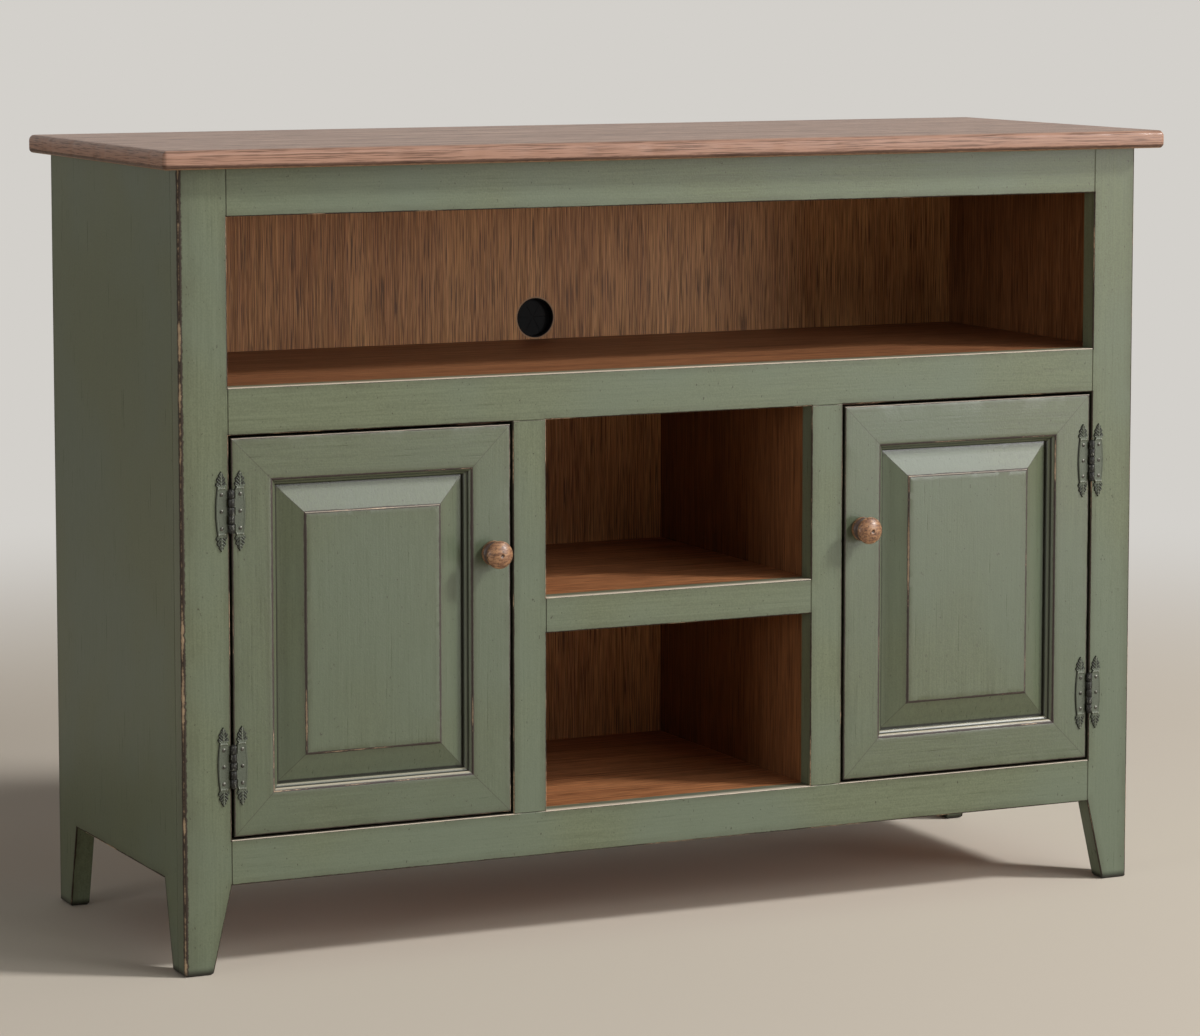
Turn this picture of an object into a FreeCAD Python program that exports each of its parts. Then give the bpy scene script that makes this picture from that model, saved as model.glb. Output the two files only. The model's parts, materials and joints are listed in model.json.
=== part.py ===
"""A painted media console: a face-framed case on tapered legs, with two inset raised-panel doors,
a wide open bay and two open cubbies.

Units are millimetres. +Z is up and the doors face -Y.
The origin is on the floor, under the middle of the whole.
"""
import FreeCAD
import Part
import math
import os

V = FreeCAD.Vector

# Face frame, the widths across the front
DOOR_OPENING_WIDTH = 306.7
CUBBY_WIDTH = 306.6
STILE_WIDTH = 50.5
MULLION_WIDTH = 37.0

# Face frame, the heights from the floor up
LEG_HEIGHT = 88.5
BOTTOM_RAIL_HEIGHT = 45.5
DOOR_OPENING_HEIGHT = 404.0
LOWER_CUBBY_HEIGHT = 184.5
CENTER_RAIL_HEIGHT = 36.5
MIDDLE_RAIL_HEIGHT = 47.0
BAY_HEIGHT = 168.4
TOP_RAIL_HEIGHT = 47.6

# Depth and board thicknesses
CASE_DEPTH = 390.0
FRAME_THICKNESS = 20.5
SIDE_THICKNESS = 20.5
SHELF_THICKNESS = 18.0
BACK_THICKNESS = 6.0
REAR_RAIL_THICKNESS = 20.5
REAR_RAIL_HEIGHT = 60.0
REAR_RAIL_SETBACK = 2.5
PARTITION_OFFSET = 1.5

# Top board
TOP_THICKNESS = 19.0
TOP_SIDE_OVERHANG = 22.5
TOP_FRONT_OVERHANG = 25.0
TOP_BACK_OVERHANG = 6.0
TOP_CORNER_RADIUS = 4.0
TOP_UPPER_ROUND = 6.0
TOP_LOWER_ROUND = 4.5

# Legs
FRONT_FOOT_WIDTH = 30.0
SIDE_LEG_WIDTH = 57.0
SIDE_FOOT_WIDTH = 34.5
SIDE_ARCH_HEIGHT = 90.0
FOOT_CHAMFER = 2.0

# Sides of small round fittings
FASTENER_SIDES = 6
BARREL_SIDES = 12
BORE_SIDES = 8
KNOB_SIDES = 24
OUTLET_SIDES = 36

# Arrises and joinery
EDGE_EASE = 0.8
CORNER_ROUND = 2.5
TENON_THICKNESS = 7.0
TENON_LENGTH = 22.0
TENON_SHOULDER = 6.0
TENON_CLEARANCE = 0.1
REAR_TENON_LENGTH = 12.0
DADO_DEPTH = 6.0
DADO_CLEARANCE = 0.1
END_GAP = 0.5

# Doors
DOOR_THICKNESS = 19.0
DOOR_GAP = 3.0
MEMBER_WIDTH = 49.3
STICKING_STEPS = 2
STICKING_WIDTH = 7.0
STICKING_DEPTH = 9.6
STICKING_QUIRK = 0.8
OVOLO_RISE = 0.7
GROOVE_LIP = 1.0
GROOVE_WIDTH = 5.0
GROOVE_DEPTH = 10.0
PANEL_CLEARANCE = 0.2
PANEL_FLOAT = 1.5
TONGUE_SHOW = 1.0
BEVEL_WIDTH = 28.3
FIELD_SHOULDER = 1.0
SPLINE_THICKNESS = 5.0
SPLINE_WIDTH = 22.0
SPLINE_REACH = 12.0
SPLINE_DISTANCE = 26.0

# Turned knobs
KNOB_HEIGHT = 405.0
KNOB_EDGE_DISTANCE = 20.0
KNOB_PROJECTION = 26.0
KNOB_RADIUS = 14.3
KNOB_RIM_RADIUS = 11.9
KNOB_BASE_RADIUS = 12.8
KNOB_BASE_THICKNESS = 6.0
KNOB_NECK_RADIUS = 8.4
KNOB_HEAD_THICKNESS = 11.5
KNOB_CROWN_RADIUS = 11.5
KNOB_CROWN_HEIGHT = 4.2
KNOB_CROWN_SWELL = 2.0
KNOB_TIP_RADIUS = 3.0
KNOB_SCREW_DEPTH = 12.0
KNOB_SCREW_DIAMETER = 4.0
KNOB_SCREW_HEAD_DIAMETER = 9.0
KNOB_SCREW_HEAD_HEIGHT = 2.4

# Surface hinges
HINGE_END_DISTANCE = 74.6
LEAF_HEIGHT = 80.0
LEAF_REACH = 15.9
LEAF_THICKNESS = 1.6
LEAF_INNER = 3.7
LEAF_WAIST_HEIGHT = 24.0
LEAF_WAIST_HALF = 4.2
SPADE_HEIGHT = 28.8
SPADE_HALF = 5.8
SPADE_FLANK_HALF = 3.3
BARREL_LENGTH = 42.0
KNUCKLE_COUNT = 5
KNUCKLE_RADIUS = 3.2
KNUCKLE_GAP = 0.4
PIN_RADIUS = 1.5
PIN_CLEARANCE = 0.06
PIN_CAP_RADIUS = 2.7
PIN_CAP_HEIGHT = 1.6
HINGE_SCREW_PITCH = 17.0
HINGE_SCREW_DIAMETER = 2.2
HINGE_SCREW_LENGTH = 11.0
HINGE_SCREW_HEAD_DIAMETER = 3.8
HINGE_SCREW_HEAD_HEIGHT = 1.0

# Cable outlet in the back panel
OUTLET_DIAMETER = 44.0
OUTLET_RISE = 1.7
GROMMET_WALL = 1.5
GROMMET_CLEARANCE = 0.1
FLANGE_DIAMETER = 54.0
FLANGE_THICKNESS = 1.5
MEMBRANE_DIAMETER = 50.0
MEMBRANE_THICKNESS = 1.2
SLIT_COUNT = 6
SLIT_WIDTH = 0.8
SLIT_LENGTH = 17.0

# Cupboard shelves and the pins under them
CUPBOARD_SHELF_RISE = 196.0
CUPBOARD_SHELF_SETBACK = 30.0
CUPBOARD_SHELF_GAP = 1.0
PIN_HOLE_DIAMETER = 5.0
PIN_HOLE_DEPTH = 9.0
PIN_HOLE_CLEARANCE = 0.05
PIN_HOLE_PITCH = 32.0
PIN_HOLE_COUNT = 3
PIN_REACH = 8.0
PIN_FLAT = 0.6
PIN_COLLAR_DIAMETER = 8.0
PIN_COLLAR_THICKNESS = 0.8
PIN_END_DISTANCE = 45.0

# Cleats that hold the top board down, and their screws
CLEAT_SIZE = 22.0
CLEAT_END_GAP = 12.0
CLEAT_SCREW_INSET = 40.0
WOOD_SCREW_DIAMETER = 4.0
WOOD_SCREW_LENGTH = 34.0
WOOD_SCREW_HEAD_DIAMETER = 8.0
WOOD_SCREW_HEAD_HEIGHT = 2.6

# Screws through the back panel
BACK_SCREW_DIAMETER = 3.5
BACK_SCREW_LENGTH = 16.0
BACK_SCREW_HEAD_DIAMETER = 7.0
BACK_SCREW_HEAD_HEIGHT = 2.0
BACK_SCREW_INSET = 60.0
SHELF_SCREW_COUNT = 6
PARTITION_SCREW_COUNT = 3

# All screws and pin caps
SCREW_CLEARANCE = 0.03
HEAD_FLAT = 0.6

# Magnetic catches behind the middle rail
CATCH_LENGTH = 44.0
CATCH_DEPTH = 24.0
CATCH_DROP = 22.0
CATCH_EDGE_DISTANCE = 6.0
MAGNET_LENGTH = 26.0
MAGNET_HEIGHT = 8.0
MAGNET_THICKNESS = 5.0
STRIKE_LENGTH = 34.0
STRIKE_HEIGHT = 14.0
STRIKE_THICKNESS = 1.0

# Levels and planes that follow from the sizes above
CASE_WIDTH = 2 * (STILE_WIDTH + DOOR_OPENING_WIDTH + MULLION_WIDTH) + CUBBY_WIDTH
HALF_WIDTH = CASE_WIDTH / 2
OPENING_BOTTOM = LEG_HEIGHT + BOTTOM_RAIL_HEIGHT
CENTER_RAIL_BOTTOM = OPENING_BOTTOM + LOWER_CUBBY_HEIGHT
CENTER_RAIL_TOP = CENTER_RAIL_BOTTOM + CENTER_RAIL_HEIGHT
OPENING_TOP = OPENING_BOTTOM + DOOR_OPENING_HEIGHT
BAY_BOTTOM = OPENING_TOP + MIDDLE_RAIL_HEIGHT
BAY_TOP = BAY_BOTTOM + BAY_HEIGHT
CASE_HEIGHT = BAY_TOP + TOP_RAIL_HEIGHT
FRONT_REACH = max(KNOB_PROJECTION, TOP_FRONT_OVERHANG)
FACE_Y = FRONT_REACH - (FRONT_REACH + CASE_DEPTH + TOP_BACK_OVERHANG) / 2
FRAME_BACK = FACE_Y + FRAME_THICKNESS
CASE_BACK = FACE_Y + CASE_DEPTH
BACK_REAR = CASE_BACK - REAR_RAIL_SETBACK - REAR_RAIL_THICKNESS
BACK_FRONT = BACK_REAR - BACK_THICKNESS
DOOR_BACK = FACE_Y + DOOR_THICKNESS
SIDE_INNER = HALF_WIDTH - SIDE_THICKNESS
CUBBY_HALF = CUBBY_WIDTH / 2
DOOR_FREE_EDGE = CUBBY_HALF + MULLION_WIDTH + DOOR_GAP
DOOR_HINGE_EDGE = HALF_WIDTH - STILE_WIDTH - DOOR_GAP
DOOR_BOTTOM = OPENING_BOTTOM + DOOR_GAP
DOOR_TOP = OPENING_TOP - DOOR_GAP
PARTITION_INNER = CUBBY_HALF + PARTITION_OFFSET
PARTITION_OUTER = PARTITION_INNER + SHELF_THICKNESS
HINGE_AXIS_X = HALF_WIDTH - STILE_WIDTH - DOOR_GAP / 2
HINGE_AXIS_Y = FACE_Y - KNUCKLE_RADIUS
HINGE_HEIGHTS = {"lower": OPENING_BOTTOM + HINGE_END_DISTANCE, "upper": OPENING_TOP - HINGE_END_DISTANCE}
BORE_RADIUS = (PIN_RADIUS + PIN_CLEARANCE) / math.cos(math.pi / BORE_SIDES)
LEAF_MIDDLE = (LEAF_INNER + LEAF_REACH) / 2
KNOB_X = DOOR_FREE_EDGE + KNOB_EDGE_DISTANCE
GROOVE_FRONT = STICKING_DEPTH + GROOVE_LIP
OUTLET_HEIGHT = BAY_BOTTOM + OUTLET_RISE + OUTLET_DIAMETER / 2
CUPBOARD_SHELF_BOTTOM = OPENING_BOTTOM + CUPBOARD_SHELF_RISE
CUPBOARD_SHELF_FRONT = FRAME_BACK + CUPBOARD_SHELF_SETBACK
CUPBOARD_SHELF_BACK = BACK_FRONT - CUPBOARD_SHELF_GAP
PIN_AXIS_HEIGHT = CUPBOARD_SHELF_BOTTOM - PIN_HOLE_DIAMETER / 2 + PIN_FLAT
CLEAT_FRONT = FRAME_BACK + CLEAT_END_GAP
CLEAT_BACK = BACK_FRONT - CLEAT_END_GAP
CATCH_BOTTOM = OPENING_TOP - CATCH_DROP
CATCH_NEAR = DOOR_FREE_EDGE + CATCH_EDGE_DISTANCE
MAGNET_X = CATCH_NEAR + CATCH_LENGTH / 2
MAGNET_Z = OPENING_TOP - (CATCH_DROP + DOOR_GAP) / 2
RAIL_LEVELS = {
    "bottom_rail": (LEG_HEIGHT, OPENING_BOTTOM),
    "middle_rail": (OPENING_TOP, BAY_BOTTOM),
    "top_rail": (BAY_TOP, CASE_HEIGHT),
}
REAR_RAIL_LEVELS = {
    "rear_bottom_rail": (LEG_HEIGHT, LEG_HEIGHT + REAR_RAIL_HEIGHT),
    "rear_top_rail": (CASE_HEIGHT - REAR_RAIL_HEIGHT, CASE_HEIGHT),
}
SIDES = {"left": -1, "right": 1}
TOUCH = 1e-4


def block(x, y, z):
    """A box between three pairs of coordinates, each in either order."""
    low = V(min(x), min(y), min(z))
    return Part.makeBox(abs(x[1] - x[0]), abs(y[1] - y[0]), abs(z[1] - z[0]), low)


def facet(corners):
    """A flat face between corners."""
    return Part.Face(Part.makePolygon(corners + corners[:1]))


def prism(points, along):
    """A flat straight-sided outline drawn out along a vector."""
    return facet(points).extrude(along)


def rod(base, along, radius):
    """A round bar from a point along a vector."""
    return Part.makeCylinder(radius, along.Length, base, along)


def ease(solid, size, wanted):
    """Plane a small bevel on every edge whose bounding box passes the test."""
    return solid.makeChamfer(size, [edge for edge in solid.Edges if wanted(edge.BoundBox)])


def line(start, end):
    """A straight edge."""
    return Part.LineSegment(start, end).toShape()


def arc(start, middle, end):
    """A round edge through three points."""
    return Part.Arc(start, middle, end).toShape()


def ring(centre, axis, radius, sides):
    """The corners of a regular outline of many sides around an axis."""
    across = V(axis.z, axis.x, axis.y).cross(axis).normalize() * radius
    return [centre + FreeCAD.Rotation(axis, 360 * step / sides).multVec(across) for step in range(sides)]


def bar(base, along, radius, sides):
    """A straight bar of many sides from a point along a vector."""
    return prism(ring(base, along, radius, sides), along)


def turned(base, axis, sides, stations):
    """A solid of many sides through rings, each given by its height along an axis and its radius."""
    rings = [ring(base + axis * height, axis, radius, sides) for height, radius in stations]
    faces = [facet(rings[0][::-1]), facet(rings[-1])]
    for low, high in zip(rings, rings[1:]):
        faces += [facet([low[i - 1], low[i], high[i], high[i - 1]]) for i in range(sides)]
    return Part.Solid(Part.Shell(faces))


def bowed(stations, steps):
    """Stations on the parabola through three given ones, of which the second is halfway up."""
    (low, start), (_, middle), (high, stop) = stations
    shares = [step / steps for step in range(steps + 1)]
    radii = [start * (1 - t) * (1 - 2 * t) + middle * 4 * t * (1 - t) + stop * t * (2 * t - 1)
             for t in shares]
    return [(low + (high - low) * t, radius) for t, radius in zip(shares, radii)]


def spread(low, high, count):
    """Evenly spaced places from low to high, both included."""
    return [low + (high - low) * step / (count - 1) for step in range(count)]


def rail_tenon(end, side, level, thick, length, room=0.0):
    """The stub tenon at one end of a level rail; with room added it is the mortise for it."""
    low, high = level
    y_low, y_high = thick
    middle = (y_low + y_high) / 2
    half = TENON_THICKNESS / 2 + room
    tip = end + side * (length + (END_GAP if room else 0.0))
    return block((end, tip), (middle - half, middle + half),
                 (low + TENON_SHOULDER - room, high - TENON_SHOULDER + room))


def post_tenon(end, up, width, room=0.0):
    """The stub tenon at the top or bottom of an upright; with room added it is the mortise for it."""
    low, high = width
    middle = (FACE_Y + FRAME_BACK) / 2
    half = TENON_THICKNESS / 2 + room
    tip = end + up * (TENON_LENGTH + (END_GAP if room else 0.0))
    return block((low + TENON_SHOULDER - room, high - TENON_SHOULDER + room),
                 (middle - half, middle + half), (end, tip))


def on_front(box):
    """True for an edge that lies in the front plane of the frame."""
    return box.YMax < FACE_Y + TOUCH


def screw(diameter, length, head_diameter, head_height, base, along):
    """A raised-head screw: the underside of its head is at a point and its shank runs along a direction."""
    shank = bar(base, along * length, diameter / 2, FASTENER_SIDES)
    crown = [(0, head_diameter / 2), (head_height, HEAD_FLAT * head_diameter / 2)]
    return shank.fuse(turned(base, along * -1, FASTENER_SIDES, crown))


def screw_hole(diameter, length, base, along):
    """The hole that a screw's shank fills."""
    return bar(base, along * (length + SCREW_CLEARANCE), diameter / 2 + SCREW_CLEARANCE, FASTENER_SIDES)


# Places of the fasteners

def cleat_screw_places(side):
    """Base and direction of the upright and the level screws of one cleat."""
    middle = side * (SIDE_INNER - CLEAT_SIZE / 2)
    inner = side * (SIDE_INNER - CLEAT_SIZE)
    low, high = CLEAT_FRONT + CLEAT_SCREW_INSET, CLEAT_BACK - CLEAT_SCREW_INSET
    upright = [(V(middle, y, CASE_HEIGHT - CLEAT_SIZE), V(0, 0, 1)) for y in spread(low, high, 3)]
    quarter = (high - low) / 4
    level = [(V(inner, y, CASE_HEIGHT - CLEAT_SIZE / 2), V(side, 0, 0))
             for y in (low + quarter, high - quarter)]
    return upright, level


def cleat_screw_holes(places):
    """The holes of cleat screws at the given places."""
    return [screw_hole(WOOD_SCREW_DIAMETER, WOOD_SCREW_LENGTH, base, along) for base, along in places]


def back_screw_places():
    """Points on the rear of the back panel over the upper shelf and the partitions."""
    shelf = [V(x, BACK_REAR, BAY_BOTTOM - SHELF_THICKNESS / 2)
             for x in spread(BACK_SCREW_INSET - SIDE_INNER, SIDE_INNER - BACK_SCREW_INSET,
                             SHELF_SCREW_COUNT)]
    heights = spread(OPENING_BOTTOM + BACK_SCREW_INSET, OPENING_TOP - BACK_SCREW_INSET,
                     PARTITION_SCREW_COUNT)
    middle = (PARTITION_INNER + PARTITION_OUTER) / 2
    return shelf + [V(side * middle, BACK_REAR, z) for side in SIDES.values() for z in heights]


def back_screw_holes():
    """The holes of the back panel screws, through the panel and into what is in front of it."""
    return [screw_hole(BACK_SCREW_DIAMETER, BACK_SCREW_LENGTH, point, V(0, -1, 0))
            for point in back_screw_places()]


def hinge_screw_places(axis, toward, height):
    """Points on the front of a hinge leaf that reaches from its pin axis to one side."""
    x = axis + toward * LEAF_MIDDLE
    return [V(x, FACE_Y - LEAF_THICKNESS, height + step * HINGE_SCREW_PITCH) for step in (-1, 0, 1)]


def hinge_screw_holes(side, toward):
    """The holes of both hinges of one door, in the stile or the door on one side of the pins."""
    return [screw_hole(HINGE_SCREW_DIAMETER, HINGE_SCREW_LENGTH, point, V(0, 1, 0))
            for height in HINGE_HEIGHTS.values()
            for point in hinge_screw_places(side * HINGE_AXIS_X, toward, height)]


def pin_columns():
    """Depths of the two columns of shelf pin holes."""
    return CUPBOARD_SHELF_FRONT + PIN_END_DISTANCE, CUPBOARD_SHELF_BACK - PIN_END_DISTANCE


def pin_holes(face, into):
    """Shelf pin holes in one upright face, drilled along X in the given direction."""
    radius = PIN_HOLE_DIAMETER / 2 + PIN_HOLE_CLEARANCE
    reach = PIN_HOLE_PITCH * (PIN_HOLE_COUNT - 1) / 2
    heights = spread(PIN_AXIS_HEIGHT - reach, PIN_AXIS_HEIGHT + reach, PIN_HOLE_COUNT)
    return [bar(V(face, y, z), V(into * PIN_HOLE_DEPTH, 0, 0), radius, FASTENER_SIDES)
            for y in pin_columns() for z in heights]


def foot_bevels(x, y, joined=None):
    """Wedges that bevel the bottom edges of a foot, all but the one where it joins another piece."""
    wedges = []
    for out, along, turn in ((x, y, V), (y, x, lambda a, b, c: V(b, a, c))):
        start, stop = min(along) - FOOT_CHAMFER, max(along) + FOOT_CHAMFER
        for place, inward in ((min(out), FOOT_CHAMFER), (max(out), -FOOT_CHAMFER)):
            if place != joined:
                corners = [(place + inward, 0), (place - inward, 0), (place - inward, 2 * FOOT_CHAMFER)]
                wedges.append(prism([turn(a, start, z) for a, z in corners], turn(0, stop - start, 0)))
    return wedges


# Face frame

def front_stile(side):
    """A corner stile that runs down into a front leg, tapered on its inner side."""
    outer, inner = side * HALF_WIDTH, side * (HALF_WIDTH - STILE_WIDTH)
    foot = side * (HALF_WIDTH - FRONT_FOOT_WIDTH)
    outline = [V(outer, FACE_Y, 0), V(foot, FACE_Y, 0), V(inner, FACE_Y, LEG_HEIGHT),
               V(inner, FACE_Y, CASE_HEIGHT), V(outer, FACE_Y, CASE_HEIGHT)]
    post = prism(outline, V(0, FRAME_THICKNESS, 0))
    corner = [edge for edge in post.Edges if on_front(edge.BoundBox) and
              edge.BoundBox.ZLength > LEG_HEIGHT and abs(edge.BoundBox.Center.x - outer) < TOUCH]
    post = post.makeFillet(CORNER_ROUND, corner)
    post = ease(post, EDGE_EASE, lambda box: on_front(box) and box.ZLength > LEG_HEIGHT / 2 and
                abs(box.Center.x) < HALF_WIDTH - FRONT_FOOT_WIDTH + TOUCH)
    post = ease(post, EDGE_EASE, lambda box: box.YMin > FRAME_BACK - TOUCH and
                abs(box.Center.x - outer) < TOUCH and box.ZLength > LEG_HEIGHT)
    cuts = foot_bevels((outer, foot), (FACE_Y, FRAME_BACK), FRAME_BACK)
    cuts += [rail_tenon(inner, side, level, (FACE_Y, FRAME_BACK), TENON_LENGTH, TENON_CLEARANCE)
             for level in RAIL_LEVELS.values()]
    return post.cut(cuts + hinge_screw_holes(side, side))


def frame_rail(name):
    """A rail across the whole front, tenoned into both stiles."""
    low, high = RAIL_LEVELS[name]
    half = HALF_WIDTH - STILE_WIDTH
    rail = block((-half, half), (FACE_Y, FRAME_BACK), (low, high))
    rail = ease(rail, EDGE_EASE, lambda box: on_front(box) and box.XLength > half)
    tenons = [rail_tenon(side * half, side, (low, high), (FACE_Y, FRAME_BACK), TENON_LENGTH)
              for side in SIDES.values()]
    return rail.fuse(tenons).removeSplitter()


def mullion_span(side):
    """Left and right edge of a mullion."""
    return sorted((side * CUBBY_HALF, side * (CUBBY_HALF + MULLION_WIDTH)))


def mullion_mortises(name):
    """The mortises for the mullions in the bottom or the middle rail."""
    end, up = (OPENING_BOTTOM, -1) if name == "bottom_rail" else (OPENING_TOP, 1)
    return [post_tenon(end, up, mullion_span(side), TENON_CLEARANCE) for side in SIDES.values()]


def mullion(side):
    """An upright between a door opening and the cubbies."""
    span = mullion_span(side)
    post = block(span, (FACE_Y, FRAME_BACK), (OPENING_BOTTOM, OPENING_TOP))
    post = ease(post, EDGE_EASE, lambda box: on_front(box) and box.ZLength > MULLION_WIDTH)
    post = post.fuse([post_tenon(OPENING_BOTTOM, -1, span), post_tenon(OPENING_TOP, 1, span)])
    mortise = rail_tenon(side * CUBBY_HALF, side, (CENTER_RAIL_BOTTOM, CENTER_RAIL_TOP),
                         (FACE_Y, FRAME_BACK), TENON_LENGTH, TENON_CLEARANCE)
    return post.cut(mortise)


def center_rail():
    """The rail between the two cubbies."""
    level = (CENTER_RAIL_BOTTOM, CENTER_RAIL_TOP)
    rail = block((-CUBBY_HALF, CUBBY_HALF), (FACE_Y, FRAME_BACK), level)
    rail = ease(rail, EDGE_EASE, lambda box: on_front(box) and box.XLength > CUBBY_HALF)
    tenons = [rail_tenon(side * CUBBY_HALF, side, level, (FACE_Y, FRAME_BACK), TENON_LENGTH)
              for side in SIDES.values()]
    return rail.fuse(tenons)


# Case

def side_panel(side):
    """A case side with a tapered leg at each end of its lower edge."""
    inner, outer = side * SIDE_INNER, side * HALF_WIDTH
    leg, foot = SIDE_LEG_WIDTH - FRAME_THICKNESS, SIDE_FOOT_WIDTH - FRAME_THICKNESS
    outline = [(FRAME_BACK, 0), (FRAME_BACK + foot, 0), (FRAME_BACK + leg, SIDE_ARCH_HEIGHT),
               (CASE_BACK - SIDE_LEG_WIDTH, SIDE_ARCH_HEIGHT), (CASE_BACK - SIDE_FOOT_WIDTH, 0),
               (CASE_BACK, 0), (CASE_BACK, CASE_HEIGHT), (FRAME_BACK, CASE_HEIGHT)]
    board = prism([V(inner, y, z) for y, z in outline], V(outer - inner, 0, 0))
    board = ease(board, EDGE_EASE, lambda box: box.YMax < FRAME_BACK + TOUCH and
                 abs(box.Center.x - outer) < TOUCH and box.ZLength > LEG_HEIGHT)
    board = ease(board, EDGE_EASE, lambda box: box.YMin > CASE_BACK - TOUCH and
                 abs(box.Center.x - outer) < TOUCH and box.ZLength > LEG_HEIGHT)
    seat = side * (SIDE_INNER + DADO_DEPTH)
    cuts = foot_bevels((inner, outer), (FRAME_BACK, FRAME_BACK + foot), FRAME_BACK)
    cuts += foot_bevels((inner, outer), (CASE_BACK - SIDE_FOOT_WIDTH, CASE_BACK))
    cuts += [block((inner, seat), (FRAME_BACK, BACK_FRONT), (top - SHELF_THICKNESS, top + DADO_CLEARANCE))
            for top in (OPENING_BOTTOM, BAY_BOTTOM)]
    cuts.append(block((inner, seat), (BACK_FRONT, BACK_REAR + DADO_CLEARANCE),
                      (OPENING_BOTTOM - SHELF_THICKNESS, CASE_HEIGHT)))
    cuts += [rail_tenon(inner, side, level, (BACK_REAR, BACK_REAR + REAR_RAIL_THICKNESS), REAR_TENON_LENGTH,
                        TENON_CLEARANCE) for level in REAR_RAIL_LEVELS.values()]
    cuts += pin_holes(inner, side)
    return board.cut(cuts + cleat_screw_holes(cleat_screw_places(side)[1]))


def long_shelf(top):
    """A board across the inside of the case, housed in both sides."""
    half = SIDE_INNER + DADO_DEPTH - DADO_CLEARANCE
    return block((-half, half), (FRAME_BACK, BACK_FRONT), (top - SHELF_THICKNESS, top))


def partition_housings():
    """The grooves for the partitions in the deck and under the upper shelf."""
    span = (PARTITION_INNER - DADO_CLEARANCE, PARTITION_OUTER + DADO_CLEARANCE)
    floor = OPENING_BOTTOM - DADO_DEPTH
    ceiling = BAY_BOTTOM - SHELF_THICKNESS + DADO_DEPTH
    return [block((side * span[0], side * span[1]), (FRAME_BACK, BACK_FRONT), (floor, ceiling))
            for side in SIDES.values()]


def upper_shelf():
    """The floor of the wide bay."""
    return long_shelf(BAY_BOTTOM).cut(partition_housings() + back_screw_holes())


def bottom_deck():
    """The floor of the cupboards and the lower cubby."""
    return long_shelf(OPENING_BOTTOM).cut(partition_housings())


def partition(side):
    """An upright board between a cupboard and the cubbies."""
    low = OPENING_BOTTOM - DADO_DEPTH
    high = BAY_BOTTOM - SHELF_THICKNESS + DADO_DEPTH - END_GAP
    board = block((side * PARTITION_INNER, side * PARTITION_OUTER), (FRAME_BACK, BACK_FRONT), (low, high))
    seat = side * (PARTITION_INNER + DADO_DEPTH)
    housing = block((side * PARTITION_INNER, seat), (FRAME_BACK, BACK_FRONT),
                    (CENTER_RAIL_TOP - SHELF_THICKNESS, CENTER_RAIL_TOP + DADO_CLEARANCE))
    return board.cut([housing] + pin_holes(side * PARTITION_OUTER, -side) + back_screw_holes())


def center_shelf():
    """The shelf between the two cubbies."""
    half = PARTITION_INNER + DADO_DEPTH - DADO_CLEARANCE
    level = (CENTER_RAIL_TOP - SHELF_THICKNESS, CENTER_RAIL_TOP)
    return block((-half, half), (FRAME_BACK, BACK_FRONT), level)


def back_panel():
    """The thin back, let into both sides and bored for the cable outlet."""
    half = SIDE_INNER + DADO_DEPTH - DADO_CLEARANCE
    board = block((-half, half), (BACK_FRONT, BACK_REAR), (OPENING_BOTTOM - SHELF_THICKNESS, CASE_HEIGHT))
    middle = V(0, BACK_FRONT, OUTLET_HEIGHT)
    outlet = bar(middle, V(0, BACK_THICKNESS, 0), OUTLET_DIAMETER / 2, OUTLET_SIDES)
    return board.cut([outlet] + back_screw_holes())


def rear_rail(name):
    """A stiffening rail behind the back panel, tenoned into both sides."""
    low, high = REAR_RAIL_LEVELS[name]
    thick = (BACK_REAR, BACK_REAR + REAR_RAIL_THICKNESS)
    rail = block((-SIDE_INNER, SIDE_INNER), thick, (low, high))
    rail = ease(rail, EDGE_EASE, lambda box: box.YMin > thick[1] - TOUCH and box.XLength > SIDE_INNER)
    tenons = [rail_tenon(side * SIDE_INNER, side, (low, high), thick, REAR_TENON_LENGTH)
              for side in SIDES.values()]
    return rail.fuse(tenons)


def top_board():
    """The overhanging top, rounded over on all four edges."""
    half = HALF_WIDTH + TOP_SIDE_OVERHANG
    front, back = FACE_Y - TOP_FRONT_OVERHANG, CASE_BACK + TOP_BACK_OVERHANG
    crown = CASE_HEIGHT + TOP_THICKNESS
    board = block((-half, half), (front, back), (CASE_HEIGHT, crown))
    upright = [edge for edge in board.Edges if edge.BoundBox.ZLength > TOUCH]
    board = board.makeFillet(TOP_CORNER_RADIUS, upright)
    upper = [edge for edge in board.Edges if edge.BoundBox.ZMin > crown - TOUCH]
    board = board.makeFillet(TOP_UPPER_ROUND, upper)
    lower = [edge for edge in board.Edges if edge.BoundBox.ZMax < CASE_HEIGHT + TOUCH]
    board = board.makeFillet(TOP_LOWER_ROUND, lower)
    return board.cut([hole for side in SIDES.values()
                      for hole in cleat_screw_holes(cleat_screw_places(side)[0])])


def top_cleats():
    """A square cleat in each upper corner of the case, under the top board."""
    cleats = []
    for side in SIDES.values():
        bar = block((side * SIDE_INNER, side * (SIDE_INNER - CLEAT_SIZE)), (CLEAT_FRONT, CLEAT_BACK),
                    (CASE_HEIGHT - CLEAT_SIZE, CASE_HEIGHT))
        upright, level = cleat_screw_places(side)
        cleats.append(bar.cut(cleat_screw_holes(upright + level)))
    return Part.makeCompound(cleats)


def cleat_screws():
    """The screws that hold the cleats to the sides and the top to the cleats."""
    return Part.makeCompound([screw(WOOD_SCREW_DIAMETER, WOOD_SCREW_LENGTH, WOOD_SCREW_HEAD_DIAMETER,
                                    WOOD_SCREW_HEAD_HEIGHT, base, along) for side in SIDES.values()
                              for group in cleat_screw_places(side) for base, along in group])


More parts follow.
